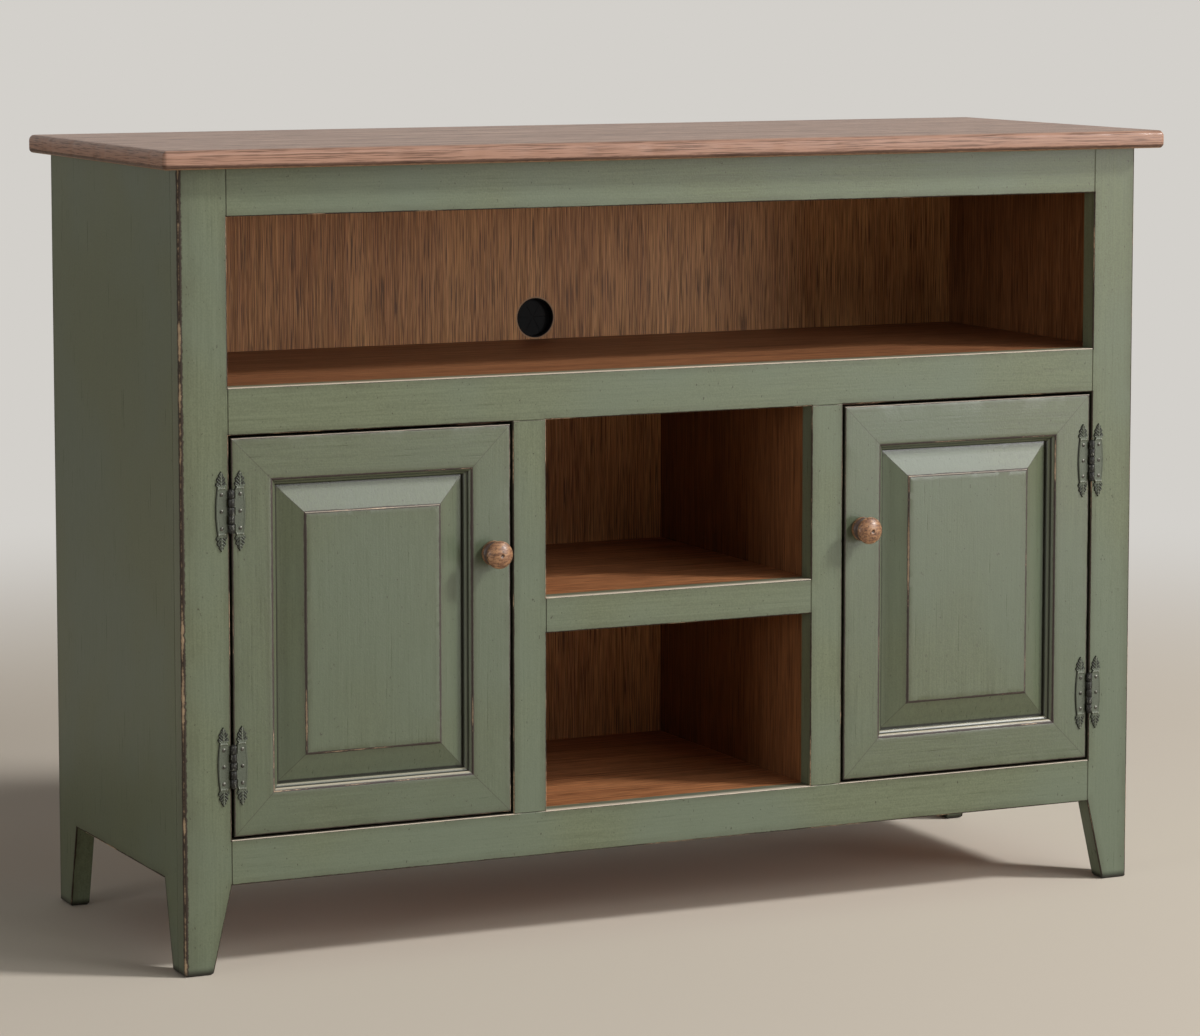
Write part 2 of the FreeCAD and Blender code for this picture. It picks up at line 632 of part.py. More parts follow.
def back_panel_screws():
    """The screws through the back panel."""
    return Part.makeCompound([screw(BACK_SCREW_DIAMETER, BACK_SCREW_LENGTH, BACK_SCREW_HEAD_DIAMETER,
                                    BACK_SCREW_HEAD_HEIGHT, point, V(0, -1, 0))
                              for point in back_screw_places()])


# Cable outlet

def cable_grommet():
    """A rubber liner pushed into the outlet from behind, with a flange on the rear of the panel."""
    tube = OUTLET_DIAMETER / 2 - GROMMET_CLEARANCE
    base = V(0, BACK_FRONT, OUTLET_HEIGHT)
    through = V(0, BACK_THICKNESS + FLANGE_THICKNESS, 0)
    liner = bar(base, through, tube, OUTLET_SIDES)
    behind = V(0, BACK_REAR, OUTLET_HEIGHT)
    flange = bar(behind, V(0, FLANGE_THICKNESS, 0), FLANGE_DIAMETER / 2, OUTLET_SIDES)
    return liner.fuse(flange).cut(bar(base, through, tube - GROMMET_WALL, OUTLET_SIDES))


def grommet_membrane():
    """A thin rubber disc behind the liner, slit into flaps that a cable bends aside."""
    base = V(0, BACK_REAR + FLANGE_THICKNESS, OUTLET_HEIGHT)
    disc = bar(base, V(0, MEMBRANE_THICKNESS, 0), MEMBRANE_DIAMETER / 2, OUTLET_SIDES)
    slit = block((-SLIT_WIDTH / 2, SLIT_WIDTH / 2), (base.y, base.y + MEMBRANE_THICKNESS),
                 (OUTLET_HEIGHT, OUTLET_HEIGHT + SLIT_LENGTH))
    turns = [slit.rotated(base, V(0, 1, 0), 360 * step / SLIT_COUNT) for step in range(SLIT_COUNT)]
    return disc.cut(turns)


# Cupboard fittings

def cupboard_shelf(side):
    """A loose shelf on four pins behind a door."""
    span = (side * (PARTITION_OUTER + CUPBOARD_SHELF_GAP), side * (SIDE_INNER - CUPBOARD_SHELF_GAP))
    board = block(span, (CUPBOARD_SHELF_FRONT, CUPBOARD_SHELF_BACK),
                  (CUPBOARD_SHELF_BOTTOM, CUPBOARD_SHELF_BOTTOM + SHELF_THICKNESS))
    return ease(board, EDGE_EASE, lambda box: box.YMax < CUPBOARD_SHELF_FRONT + TOUCH and
                box.XLength > SHELF_THICKNESS)


def shelf_pin(face, y, into):
    """A pin with a collar against the wall and a flat top under the shelf."""
    radius = PIN_HOLE_DIAMETER / 2
    out = V(-into, 0, 0)
    start = V(face, y, PIN_AXIS_HEIGHT)
    reach = PIN_COLLAR_THICKNESS + PIN_REACH
    collar = bar(start, out * PIN_COLLAR_THICKNESS, PIN_COLLAR_DIAMETER / 2, FASTENER_SIDES)
    depth = PIN_HOLE_DEPTH - END_GAP
    pin = bar(start - out * depth, out * (depth + reach), radius, FASTENER_SIDES)
    over = block((face, face - into * reach), (y - PIN_COLLAR_DIAMETER, y + PIN_COLLAR_DIAMETER),
                 (CUPBOARD_SHELF_BOTTOM, CUPBOARD_SHELF_BOTTOM + PIN_COLLAR_DIAMETER))
    return pin.fuse(collar).cut(over)


def shelf_pins():
    """The eight pins under the two cupboard shelves."""
    faces = [(side * SIDE_INNER, side) for side in SIDES.values()]
    faces += [(side * PARTITION_OUTER, -side) for side in SIDES.values()]
    return Part.makeCompound([shelf_pin(face, y, into) for face, into in faces for y in pin_columns()])


def magnet(side, room=0.0):
    """A flat magnet let into the front of a catch block; with room added it is the recess for it."""
    middle = side * MAGNET_X
    length, height = MAGNET_LENGTH / 2 + room, MAGNET_HEIGHT / 2 + room
    return block((middle - length, middle + length), (FRAME_BACK, FRAME_BACK + MAGNET_THICKNESS),
                 (MAGNET_Z - height, MAGNET_Z + height))


def catch_blocks():
    """A stop block behind the middle rail at each door's free edge."""
    blocks = []
    for side in SIDES.values():
        bar = block((side * CATCH_NEAR, side * (CATCH_NEAR + CATCH_LENGTH)),
                    (FRAME_BACK, FRAME_BACK + CATCH_DEPTH), (CATCH_BOTTOM, BAY_BOTTOM - SHELF_THICKNESS))
        blocks.append(bar.cut(magnet(side, SCREW_CLEARANCE)))
    return Part.makeCompound(blocks)


def catch_magnets():
    """The magnets of both catches."""
    return Part.makeCompound([magnet(side) for side in SIDES.values()])


def strike_plate(side):
    """A steel plate on the back of a door, opposite the magnet."""
    middle = side * MAGNET_X
    length, height = STRIKE_LENGTH / 2, STRIKE_HEIGHT / 2
    return block((middle - length, middle + length), (DOOR_BACK, DOOR_BACK + STRIKE_THICKNESS),
                 (MAGNET_Z - height, MAGNET_Z + height))


# Doors

def door_edges(side):
    """The four outer edges of a door: its name, axis, place and inward direction."""
    return {
        "hinge_stile": ("x", side * DOOR_HINGE_EDGE, -side),
        "lock_stile": ("x", side * DOOR_FREE_EDGE, side),
        "bottom_rail": ("z", DOOR_BOTTOM, 1),
        "top_rail": ("z", DOOR_TOP, -1),
    }


def member_section(place):
    """The moulded section of a door member: bevelled arris, flat, stepped ovolos, then the panel groove."""
    flat = V(MEMBER_WIDTH - STICKING_WIDTH, 0)
    step = V(STICKING_WIDTH, STICKING_DEPTH) * (1 / STICKING_STEPS)
    drop = V(0, STICKING_QUIRK)
    across = step - drop
    crown = across * 0.5 + V(across.y, -across.x).normalize() * OVOLO_RISE
    before = [V(0, EDGE_EASE), V(EDGE_EASE, 0), flat]
    after = [V(MEMBER_WIDTH, STICKING_DEPTH), V(MEMBER_WIDTH, GROOVE_FRONT),
             V(MEMBER_WIDTH - GROOVE_DEPTH, GROOVE_FRONT),
             V(MEMBER_WIDTH - GROOVE_DEPTH, GROOVE_FRONT + GROOVE_WIDTH),
             V(MEMBER_WIDTH, GROOVE_FRONT + GROOVE_WIDTH), V(MEMBER_WIDTH, DOOR_THICKNESS),
             V(0, DOOR_THICKNESS), before[0]]
    edges = [line(place(a), place(b)) for a, b in zip(before, before[1:])]
    for number in range(STICKING_STEPS):
        top = flat + step * number
        quirk = top + drop
        edges.append(line(place(top), place(quirk)))
        edges.append(arc(place(quirk), place(quirk + crown), place(top + step)))
    edges += [line(place(a), place(b)) for a, b in zip(after, after[1:])]
    return Part.Face(Part.Wire(edges))


def door_splines(side, room=0.0):
    """The loose tongues across the four mitres; with room added they are the slots for them."""
    middle = FACE_Y + DOOR_THICKNESS / 2
    half, reach = SPLINE_WIDTH / 2 + room, SPLINE_REACH + room
    along = SPLINE_DISTANCE / 2 ** 0.5
    splines = []
    for edge, inward in ((DOOR_HINGE_EDGE, -1), (DOOR_FREE_EDGE, 1)):
        for level, up in ((DOOR_BOTTOM, 1), (DOOR_TOP, -1)):
            centre = V(side * (edge + inward * along), middle, level + up * along)
            tongue = block((centre.x - half, centre.x + half),
                           (middle - SPLINE_THICKNESS / 2, middle + SPLINE_THICKNESS / 2),
                           (centre.z - reach, centre.z + reach))
            splines.append(tongue.rotated(centre, V(0, 1, 0), -45 * side * inward * up))
    return splines


def knob_bore(side):
    """The hole for a knob's screw through the lock stile and into the knob."""
    along = V(0, KNOB_SCREW_DEPTH + DOOR_THICKNESS + END_GAP, 0)
    base = V(side * KNOB_X, DOOR_BACK, KNOB_HEIGHT) - along
    return bar(base, along, KNOB_SCREW_DIAMETER / 2 + SCREW_CLEARANCE, FASTENER_SIDES)


def door_member(side, name):
    """One mitred member of a door frame."""
    axis, edge, inward = door_edges(side)[name]
    inner = edge + inward * MEMBER_WIDTH
    if axis == "x":
        ends = ((DOOR_BOTTOM, 1), (DOOR_TOP, -1))
        face = member_section(lambda p: V(edge + inward * p.x, FACE_Y + p.y, DOOR_BOTTOM))
        bar = face.extrude(V(0, 0, DOOR_TOP - DOOR_BOTTOM))
    else:
        ends = ((side * DOOR_FREE_EDGE, side), (side * DOOR_HINGE_EDGE, -side))
        face = member_section(lambda p: V(ends[0][0], FACE_Y + p.y, edge + inward * p.x))
        bar = face.extrude(V(ends[1][0] - ends[0][0], 0, 0))
    (start, first), (stop, last) = ends
    mitre = [(edge, start), (inner, start + first * MEMBER_WIDTH),
             (inner, stop + last * MEMBER_WIDTH), (edge, stop)]
    outline = [V(a, FACE_Y, b) if axis == "x" else V(b, FACE_Y, a) for a, b in mitre]
    cuts = door_splines(side, TENON_CLEARANCE)
    if name == "hinge_stile":
        cuts += hinge_screw_holes(side, -side)
    if name == "lock_stile":
        cuts.append(knob_bore(side))
    return bar.common(prism(outline, V(0, DOOR_THICKNESS, 0))).cut(cuts)


def panel_profile(low, high, place):
    """A raised panel's section between two door edges: tongue, bevel, shoulder and field on each side."""
    edge = MEMBER_WIDTH - GROOVE_DEPTH + PANEL_FLOAT
    tongue = GROOVE_FRONT + PANEL_CLEARANCE
    back = GROOVE_FRONT + GROOVE_WIDTH
    field = MEMBER_WIDTH + BEVEL_WIDTH
    rise = [(edge, back), (edge, tongue), (MEMBER_WIDTH + TONGUE_SHOW, tongue),
            (field, FIELD_SHOULDER), (field, 0)]
    return [place(low + s, t) for s, t in rise] + [place(high - s, t) for s, t in reversed(rise)]


def door_panel(side):
    """A raised panel: the part common to its upright and its level section, so the bevels meet in mitres."""
    left, right = sorted((side * DOOR_FREE_EDGE, side * DOOR_HINGE_EDGE))
    level = prism(panel_profile(left, right, lambda s, t: V(s, FACE_Y + t, DOOR_BOTTOM)),
                  V(0, 0, DOOR_TOP - DOOR_BOTTOM))
    upright = prism(panel_profile(DOOR_BOTTOM, DOOR_TOP, lambda s, t: V(left, FACE_Y + t, s)),
                    V(right - left, 0, 0))
    return level.common(upright)


def knob(side):
    """A turned knob: rounded base, narrow neck and domed head, bored for its screw."""
    head_low = KNOB_PROJECTION - KNOB_HEAD_THICKNESS
    crown_low = KNOB_PROJECTION - KNOB_CROWN_HEIGHT
    neck = (KNOB_BASE_THICKNESS + head_low) / 2
    crown = (KNOB_CROWN_RADIUS + KNOB_TIP_RADIUS) / 2 + KNOB_CROWN_SWELL
    stations = bowed([(0, KNOB_RIM_RADIUS), (KNOB_BASE_THICKNESS / 2, KNOB_BASE_RADIUS),
                      (KNOB_BASE_THICKNESS, KNOB_RIM_RADIUS)], 2)
    stations += bowed([stations[-1], (neck, KNOB_NECK_RADIUS), (head_low, KNOB_RIM_RADIUS)], 2)[1:]
    stations += bowed([stations[-1], ((head_low + crown_low) / 2, KNOB_RADIUS),
                       (crown_low, KNOB_CROWN_RADIUS)], 4)[1:]
    stations += bowed([stations[-1], (crown_low + KNOB_CROWN_HEIGHT / 2, crown),
                       (KNOB_PROJECTION, KNOB_TIP_RADIUS)], 2)[1:]
    base = V(side * KNOB_X, FACE_Y, KNOB_HEIGHT)
    return turned(base, V(0, -1, 0), KNOB_SIDES, stations).cut(knob_bore(side))


def knob_screw(side):
    """The machine screw that holds a knob from inside the door."""
    return screw(KNOB_SCREW_DIAMETER, DOOR_THICKNESS + KNOB_SCREW_DEPTH, KNOB_SCREW_HEAD_DIAMETER,
                 KNOB_SCREW_HEAD_HEIGHT, V(side * KNOB_X, DOOR_BACK, KNOB_HEIGHT), V(0, -1, 0))


# Hinges

def leaf_outline(place):
    """The bowed outline of a leaf: a straight inner edge, a waist and a spade tip at each end."""
    tip = V(LEAF_MIDDLE, LEAF_HEIGHT / 2)
    barrel = V(LEAF_INNER, BARREL_LENGTH / 2)

    def half_point(side, width, height):
        return V(LEAF_MIDDLE + side * width, height)

    lobe_height = (LEAF_WAIST_HEIGHT + SPADE_HEIGHT) / 2
    flank_height = (SPADE_HEIGHT + tip.y) / 2
    edges = []
    for up in (1, -1):
        def at(point):
            return place(V(point.x, up * point.y))
        edges.append(line(at(barrel), at(half_point(-1, LEAF_WAIST_HALF, LEAF_WAIST_HEIGHT))))
        for side in (-1, 1):
            waist = half_point(side, LEAF_WAIST_HALF, LEAF_WAIST_HEIGHT)
            lobe = half_point(side, SPADE_HALF, lobe_height)
            spade = half_point(side, SPADE_HALF, SPADE_HEIGHT)
            flank = half_point(side, SPADE_FLANK_HALF, flank_height)
            edges.append(arc(at(waist), at(lobe), at(spade)))
            edges.append(arc(at(spade), at(flank), at(tip)))
    low, high = (place(V(LEAF_INNER, up * barrel.y)) for up in (-1, 1))
    edges.append(line(low, high))
    outer = half_point(1, LEAF_WAIST_HALF, LEAF_WAIST_HEIGHT)
    edges.append(arc(place(outer), place(V(LEAF_REACH, 0)), place(V(outer.x, -outer.y))))
    return Part.Face(Part.Wire(Part.__sortEdges__(edges)))


def hinge_leaf(side, toward, height, first):
    """A leaf beside the pin, with every second knuckle from the first one up."""
    axis = side * HINGE_AXIS_X
    front = FACE_Y - LEAF_THICKNESS
    outline = leaf_outline(lambda p: V(axis + toward * p.x, front, height + p.y))
    plate = outline.extrude(V(0, LEAF_THICKNESS, 0))
    pitch = BARREL_LENGTH / KNUCKLE_COUNT
    pieces = []
    for index in range(first, KNUCKLE_COUNT, 2):
        low = height - BARREL_LENGTH / 2 + index * pitch + KNUCKLE_GAP / 2
        span = (low, low + pitch - KNUCKLE_GAP)
        base = V(axis, HINGE_AXIS_Y, low)
        pieces.append(bar(base, V(0, 0, pitch - KNUCKLE_GAP), KNUCKLE_RADIUS, BARREL_SIDES))
        pieces.append(block((axis, axis + toward * (LEAF_INNER + EDGE_EASE)), (front, FACE_Y), span))
    below = V(axis, HINGE_AXIS_Y, height - BARREL_LENGTH)
    bore = bar(below, V(0, 0, 2 * BARREL_LENGTH), BORE_RADIUS, BORE_SIDES)
    holes = [screw_hole(HINGE_SCREW_DIAMETER, HINGE_SCREW_LENGTH, point, V(0, 1, 0))
             for point in hinge_screw_places(axis, toward, height)]
    return plate.fuse(pieces).cut([bore] + holes).removeSplitter()


def hinge_pin(side, height):
    """A pin with a raised cap on each end of the barrel."""
    end = BARREL_LENGTH / 2 - KNUCKLE_GAP / 2
    axis = V(side * HINGE_AXIS_X, HINGE_AXIS_Y, height)
    crown = [(0, PIN_CAP_RADIUS), (PIN_CAP_HEIGHT, HEAD_FLAT * PIN_CAP_RADIUS)]
    caps = [turned(axis + up * end, up, BARREL_SIDES, crown) for up in (V(0, 0, 1), V(0, 0, -1))]
    return rod(axis - V(0, 0, end), V(0, 0, 2 * end), PIN_RADIUS).fuse(caps)


def hinge_pins():
    """The pins of all four hinges."""
    return Part.makeCompound([hinge_pin(side, height) for side in SIDES.values()
                              for height in HINGE_HEIGHTS.values()])


def leaf_screws(side, toward):
    """The screws of both leaves on one side of a door's pins."""
    return [screw(HINGE_SCREW_DIAMETER, HINGE_SCREW_LENGTH, HINGE_SCREW_HEAD_DIAMETER,
                  HINGE_SCREW_HEAD_HEIGHT, point, V(0, 1, 0)) for height in HINGE_HEIGHTS.values()
            for point in hinge_screw_places(side * HINGE_AXIS_X, toward, height)]


# The assembly

def case_nodes():
    """Every piece of the case, by name."""
    nodes = {
        "top_board": top_board(),
        "center_rail": center_rail(),
        "upper_shelf": upper_shelf(),
        "bottom_deck": bottom_deck(),
        "center_shelf": center_shelf(),
        "back_panel": back_panel(),
        "cable_grommet": cable_grommet(),
        "grommet_membrane": grommet_membrane(),
        "shelf_pins": shelf_pins(),
        "top_cleats": top_cleats(),
        "cleat_screws": cleat_screws(),
        "back_panel_screws": back_panel_screws(),
        "catch_blocks": catch_blocks(),
        "catch_magnets": catch_magnets(),
        "hinge_pins": hinge_pins(),
    }
    for name in RAIL_LEVELS:
        rail = frame_rail(name)
        nodes[name] = rail if name == "top_rail" else rail.cut(mullion_mortises(name))
    for name in REAR_RAIL_LEVELS:
        nodes[name] = rear_rail(name)
    screws = []
    for hand, side in SIDES.items():
        nodes[hand + "_front_stile"] = front_stile(side)
        nodes[hand + "_side_panel"] = side_panel(side)
        nodes[hand + "_mullion"] = mullion(side)
        nodes[hand + "_partition"] = partition(side)
        nodes[hand + "_cupboard_shelf"] = cupboard_shelf(side)
        for level, height in HINGE_HEIGHTS.items():
            nodes[hand + "_" + level + "_frame_leaf"] = hinge_leaf(side, side, height, 0)
        screws += leaf_screws(side, side)
    nodes["frame_leaf_screws"] = Part.makeCompound(screws)
    return nodes


def door_nodes(hand, side):
    """Every piece of one door, by name."""
    nodes = {hand + "_door_" + name: door_member(side, name) for name in door_edges(side)}
    nodes[hand + "_door_panel"] = door_panel(side)
    nodes[hand + "_door_splines"] = Part.makeCompound(door_splines(side))
    nodes[hand + "_knob"] = knob(side)
    nodes[hand + "_knob_screw"] = knob_screw(side)
    nodes[hand + "_strike_plate"] = strike_plate(side)
    for level, height in HINGE_HEIGHTS.items():
        nodes[hand + "_" + level + "_door_leaf"] = hinge_leaf(side, -side, height, 1)
    nodes[hand + "_door_leaf_screws"] = Part.makeCompound(leaf_screws(side, -side))
    return nodes


def main():
    """Build every piece and write each one to its own file."""
    os.makedirs("parts", exist_ok=True)
    nodes = case_nodes()
    for hand, side in SIDES.items():
        nodes.update(door_nodes(hand, side))
    for name, shape in nodes.items():
        shape.exportStep("parts/" + name + ".step")


main()
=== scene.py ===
"""Looks of a painted media console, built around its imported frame.

Sizes are millimetres in the console's own frame: +Z is up, the doors face -Y and the floor is at zero.
Boards keep the solids of the frame and get a finish. Mouldings, turnings, hinges and other fittings are
surfaces worked out here, which stand for the solids that they replace.
"""
from __future__ import annotations

import json
import logging
import math
from abc import ABC, abstractmethod
from collections.abc import Mapping, Sequence
from dataclasses import dataclass, field, replace
from enum import Enum
from functools import partial

import bpy
import numpy as np
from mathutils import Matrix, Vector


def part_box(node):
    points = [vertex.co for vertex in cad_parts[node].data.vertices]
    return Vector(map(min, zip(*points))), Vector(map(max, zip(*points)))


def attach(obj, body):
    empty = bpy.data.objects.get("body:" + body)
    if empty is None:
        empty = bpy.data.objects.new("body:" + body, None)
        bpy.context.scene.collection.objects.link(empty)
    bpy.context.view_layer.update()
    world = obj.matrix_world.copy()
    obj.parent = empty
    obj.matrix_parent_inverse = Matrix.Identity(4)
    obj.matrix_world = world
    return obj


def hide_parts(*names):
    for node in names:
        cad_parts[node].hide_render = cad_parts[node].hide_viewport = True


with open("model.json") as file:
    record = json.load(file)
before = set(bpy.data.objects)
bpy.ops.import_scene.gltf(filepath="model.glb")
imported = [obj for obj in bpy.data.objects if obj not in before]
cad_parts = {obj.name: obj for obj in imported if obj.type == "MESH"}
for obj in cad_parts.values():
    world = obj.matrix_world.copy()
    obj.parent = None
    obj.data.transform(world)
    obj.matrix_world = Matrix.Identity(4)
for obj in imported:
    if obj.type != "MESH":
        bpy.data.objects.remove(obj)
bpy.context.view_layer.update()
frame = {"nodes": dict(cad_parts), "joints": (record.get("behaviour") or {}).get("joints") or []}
LOG = logging.getLogger("console")
MM = 0.001
FACE = -185.0
HALF_WIDTH = 547.5
FAR = 1000.0
ARRIS_SAMPLES = 6
UP, BACKWARD, FORWARD = (0, 0, 1), (0, 1, 0), (0, -1, 0)
QUARTER = math.pi / 2
Socket = bpy.types.NodeSocket
Value = Socket | float | Sequence[float]
Pair = tuple[float, float]
Triple = tuple[float, float, float]
Profile = tuple[Pair, ...]


class Grain(Enum):
    """The axis along which the fibres of a board run."""

    ACROSS = 0
    DEEP = 1
    UPRIGHT = 2

    def sizes(self, along: float, across: float) -> tuple[float, ...]:
        """The size of a streak on each axis: long with the fibres, narrow across them."""
        return tuple(along if axis == self.value else across for axis in range(3))


class Hand(Enum):
    """The side of the console that a door hangs on, with the sign of its X."""

    LEFT = -1
    RIGHT = 1

    @property
    def word(self) -> str:
        """The hand as it begins the names of nodes."""
        return self.name.lower()


class Recess(Enum):
    """The driver recess in a screw head."""

    SLOT = 1
    CROSS = 2


def linear(code: str) -> tuple[float, float, float, float]:
    """Turn an sRGB hex colour into linear light.

    Args:
        code: The colour as "#RRGGBB".
    Returns:
        Linear red, green and blue, and an alpha of one.
    """
    share = np.array([int(code[i:i + 2], 16) for i in (1, 3, 5)]) / 255
    light = np.where(share <= 0.04045, share / 12.92, ((share + 0.055) / 1.055) ** 2.4)
    return (*light.tolist(), 1.0)


def node_box(name: str) -> tuple[np.ndarray, np.ndarray]:
    """The lowest and the highest corner of a node of the frame, in millimetres."""
    low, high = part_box(name)
    return np.array(low) / MM, np.array(high) / MM


# Node trees

class Tree:
    """The nodes of one material or of the world."""

    def __init__(self, owner: bpy.types.Material | bpy.types.World) -> None:
        """Start an empty tree for a material or a world."""
        owner.use_nodes = True
        self.tree = owner.node_tree
        self.tree.nodes.clear()

    def add(self, kind: str, inputs: Sequence[Value] | Mapping[int | str, Value] = (),
            output: int | str = 0, **settings: object) -> Socket:
        """Add a node with its settings and links.

        Args:
            kind: The node's type without the word that all shader nodes begin with, and its operation after a dot.
            inputs: Sockets to link or values to set, in order or by number or name.
            output: The output that is wanted.
            settings: Properties of the node.
        Returns:
            The wanted output of the new node.
        """
        kind, _, operation = kind.partition(".")
        node = self.tree.nodes.new("ShaderNode" + kind)
        if operation:
            node.operation = operation
        for name, value in settings.items():
            setattr(node, name, value)
        pairs = inputs.items() if isinstance(inputs, Mapping) else enumerate(inputs)
        for key, value in pairs:
            if isinstance(value, Socket):
                self.tree.links.new(value, node.inputs[key])
            else:
                node.inputs[key].default_value = value
        return node.outputs[output] if node.outputs else None

    def point(self) -> Socket:
        """The place on the surface, in millimetres."""
        return self.add("VectorMath.SCALE", {0: self.add("TexCoord", output="Object"), 3: 1 / MM})


@dataclass(frozen=True)
class Marks:
    """Random marks of a real size in millimetres, given on each axis or with the fibres and across them."""

    size: tuple[float, ...]
    detail: float = 2.0
    shift: float = 0.0
    decay: float = 0.6

    def at(self, t: Tree, point: Socket, grain: Grain = Grain.UPRIGHT) -> Socket:
        """Add smooth noise on a point whose axes are counted in marks.

        Args:
            t: The tree to add to.
            point: The place on the surface, in millimetres.
            grain: How the fibres run.
        Returns:
            A value around one half.
        """
        size = self.size if len(self.size) == 3 else grain.sizes(*self.size)
        counted = t.add("VectorMath.MULTIPLY_ADD", (point, tuple(1 / s for s in size), (self.shift,) * 3))
        return t.add("TexNoise", {"Vector": counted, "Scale": 1.0, "Detail": self.detail, "Roughness": self.decay})


@dataclass(frozen=True)
class Fade:
    """A share that goes smoothly from a first to a last amount while a value goes from start to stop."""

    start: float
    stop: float
    first: float = 0.0
    last: float = 1.0

    def of(self, t: Tree, value: Socket) -> Socket:
        """The share of a value."""
        return t.add("MapRange", (value, self.start, self.stop, self.first, self.last),
                     interpolation_type="SMOOTHSTEP")


def coat(t: Tree, under: Socket | str, over: Socket | str, *shares: Value) -> Socket:
    """Lay a colour over another one, as much of it as the product of some shares.

    Args:
        t: The tree to add to.
        under: The colour below, as a socket or a hex code.
        over: The colour above.
        shares: How much of it shows, one or more shares.
    Returns:
        The mixed colour.
    """
    share = shares[0]
    for other in shares[1:]:
        share = t.add("Math.MULTIPLY", (share, other))
    below, above = (linear(colour) if isinstance(colour, str) else colour for colour in (under, over))
    return t.add("Mix", {0: share, 6: below, 7: above}, 2, data_type="RGBA")


@dataclass
class Layer:
    """What a finish shows at each place: colour, roughness and the height of its relief."""

    colour: Socket
    roughness: Socket
    height: Socket

    def over(self, t: Tree, under: Layer, share: Socket) -> Layer:
        """Lay this layer over another one where a share is one."""
        roughness = t.add("Mix", {0: share, 2: under.roughness, 3: self.roughness})
        height = t.add("Mix", {0: share, 2: under.height, 3: self.height})
        return Layer(coat(t, under.colour, self.colour, share), roughness, height)


# Places of edges on the surface

def apart(t: Tree, measured: Socket, place: Value) -> Socket:
    """How far a measured value is from a place, either way."""
    return t.add("Math.ABSOLUTE", (t.add("Math.SUBTRACT", (measured, place)),))


def within(t: Tree, measured: Socket, low: float, high: float) -> Socket:
    """How far a measured value is inside two limits, from the nearer one."""
    first, last = t.add("Math.SUBTRACT", (measured, low)), t.add("Math.SUBTRACT", (high, measured))
    return t.add("Math.MINIMUM", (first, last))


def from_arch(t: Tree, beside: Socket, z: Socket, top: float, half: float, spread: float) -> Socket:
    """How far a place is outside an arch, whose width grows evenly below its top.

    Args:
        t: The tree to add to.
        beside: The distance from the middle of the arch.
        z: The height.
        top: The height of the arch.
        half: Half its width at the top.
        spread: How much wider each half gets for each millimetre down.
    Returns:
        The larger of the distances beside and above it.
    """
    fallen = t.add("Math.MAXIMUM", (t.add("Math.SUBTRACT", (top, z)), 0.0))
    limit = t.add("Math.MULTIPLY_ADD", (fallen, spread, half))
    return t.add("Math.MAXIMUM", (t.add("Math.SUBTRACT", (beside, limit)), t.add("Math.SUBTRACT", (z, top))))


def from_axis(t: Tree, point: Socket, centre: Triple) -> tuple[Socket, Socket]:
    """Measure a point from an axis that runs to the front.

    Args:
        t: The tree to add to.
        point: The place on the surface.
        centre: Where the axis starts.
    Returns:
        The place from the start of the axis, and the distance from the axis, its length on X and Z.
    """
    local = t.add("VectorMath.SUBTRACT", (point, centre))
    flat = t.add("VectorMath.MULTIPLY", (local, (1.0, 0.0, 1.0)))
    return local, t.add("VectorMath.LENGTH", (flat,), 1)


@dataclass
class Edges:
    """Distances in millimetres from an arris and from a joint, and shares of painted shade that are one in
    recesses and in gaps.
    """

    arris: Socket
    joint: Socket | None = None
    recess: Socket | None = None
    gap: Socket | None = None


class EdgeField(ABC):
    """Finds the arrises, joints and recesses that a finish wears or collects in."""

    @abstractmethod
    def find(self, t: Tree, point: Socket) -> Edges:
        """Add the nodes that measure how far a point is from the edges."""


@dataclass(frozen=True)
class FrameEdges(EdgeField):
    """Arrises of the face frame: the openings, the case corners and the tapered legs.

    A point's distance from an opening is the larger of its distances outside that rectangle on X and on Z,
    and the distance from an arris is the larger of that and the depth behind the face. The faces that line the
    doors' openings are in a gap, which is darkened as painted shade.
    """

    joint_axis: int = 0
    joint_places: tuple[float, ...] = ()
    stile: float = 50.5
    foot: float = 30.0
    leg: float = 88.5
    corner_wear: float = 0.5
    gap_reach: float = 0.9
    openings: tuple[tuple[float, float, float, float], ...] = (
        (-497.0, 497.0, 585.0, 753.4), (190.3, 497.0, 134.0, 538.0),
        (-153.3, 153.3, 355.0, 538.0), (-153.3, 153.3, 134.0, 318.5))

    def find(self, t: Tree, point: Socket) -> Edges:
        """Measure how far a point is from the arrises and from the ends of its board."""
        x, y, z = t.add("SeparateXYZ", (point,)).node.outputs
        across = t.add("Math.ABSOLUTE", (x,))
        depth = t.add("Math.SUBTRACT", (y, FACE))
        corner = t.add("Math.MAXIMUM", (t.add("Math.SUBTRACT", (HALF_WIDTH, across)), depth))
        corner = t.add("Math.MULTIPLY", (corner, self.corner_wear))
        spread = (self.stile - self.foot) / self.leg
        nearest = from_arch(t, across, z, self.leg, HALF_WIDTH - self.stile, spread)
        for left, right, low, high in self.openings:
            inside = t.add("Math.MINIMUM", (within(t, across, left, right), within(t, z, low, high)))
            outside = t.add("Math.MULTIPLY", (inside, -1.0))
            nearest = t.add("Math.MINIMUM", (nearest, outside))
            # the faces that line a door's opening, behind the face, are a gap that gets painted shade
            if left > 0:
                lining = t.add("Math.LESS_THAN", (outside, self.gap_reach))
        arris = t.add("Math.MINIMUM", (t.add("Math.MAXIMUM", (nearest, depth)), corner))
        behind = t.add("Math.GREATER_THAN", (depth, self.gap_reach))
        joint = None
        for where in self.joint_places:
            gap = apart(t, (across, y, z)[self.joint_axis], where)
            joint = t.add("Math.MINIMUM", (joint, gap)) if joint else gap
        return Edges(arris, joint, gap=t.add("Math.MULTIPLY", (lining, behind)))


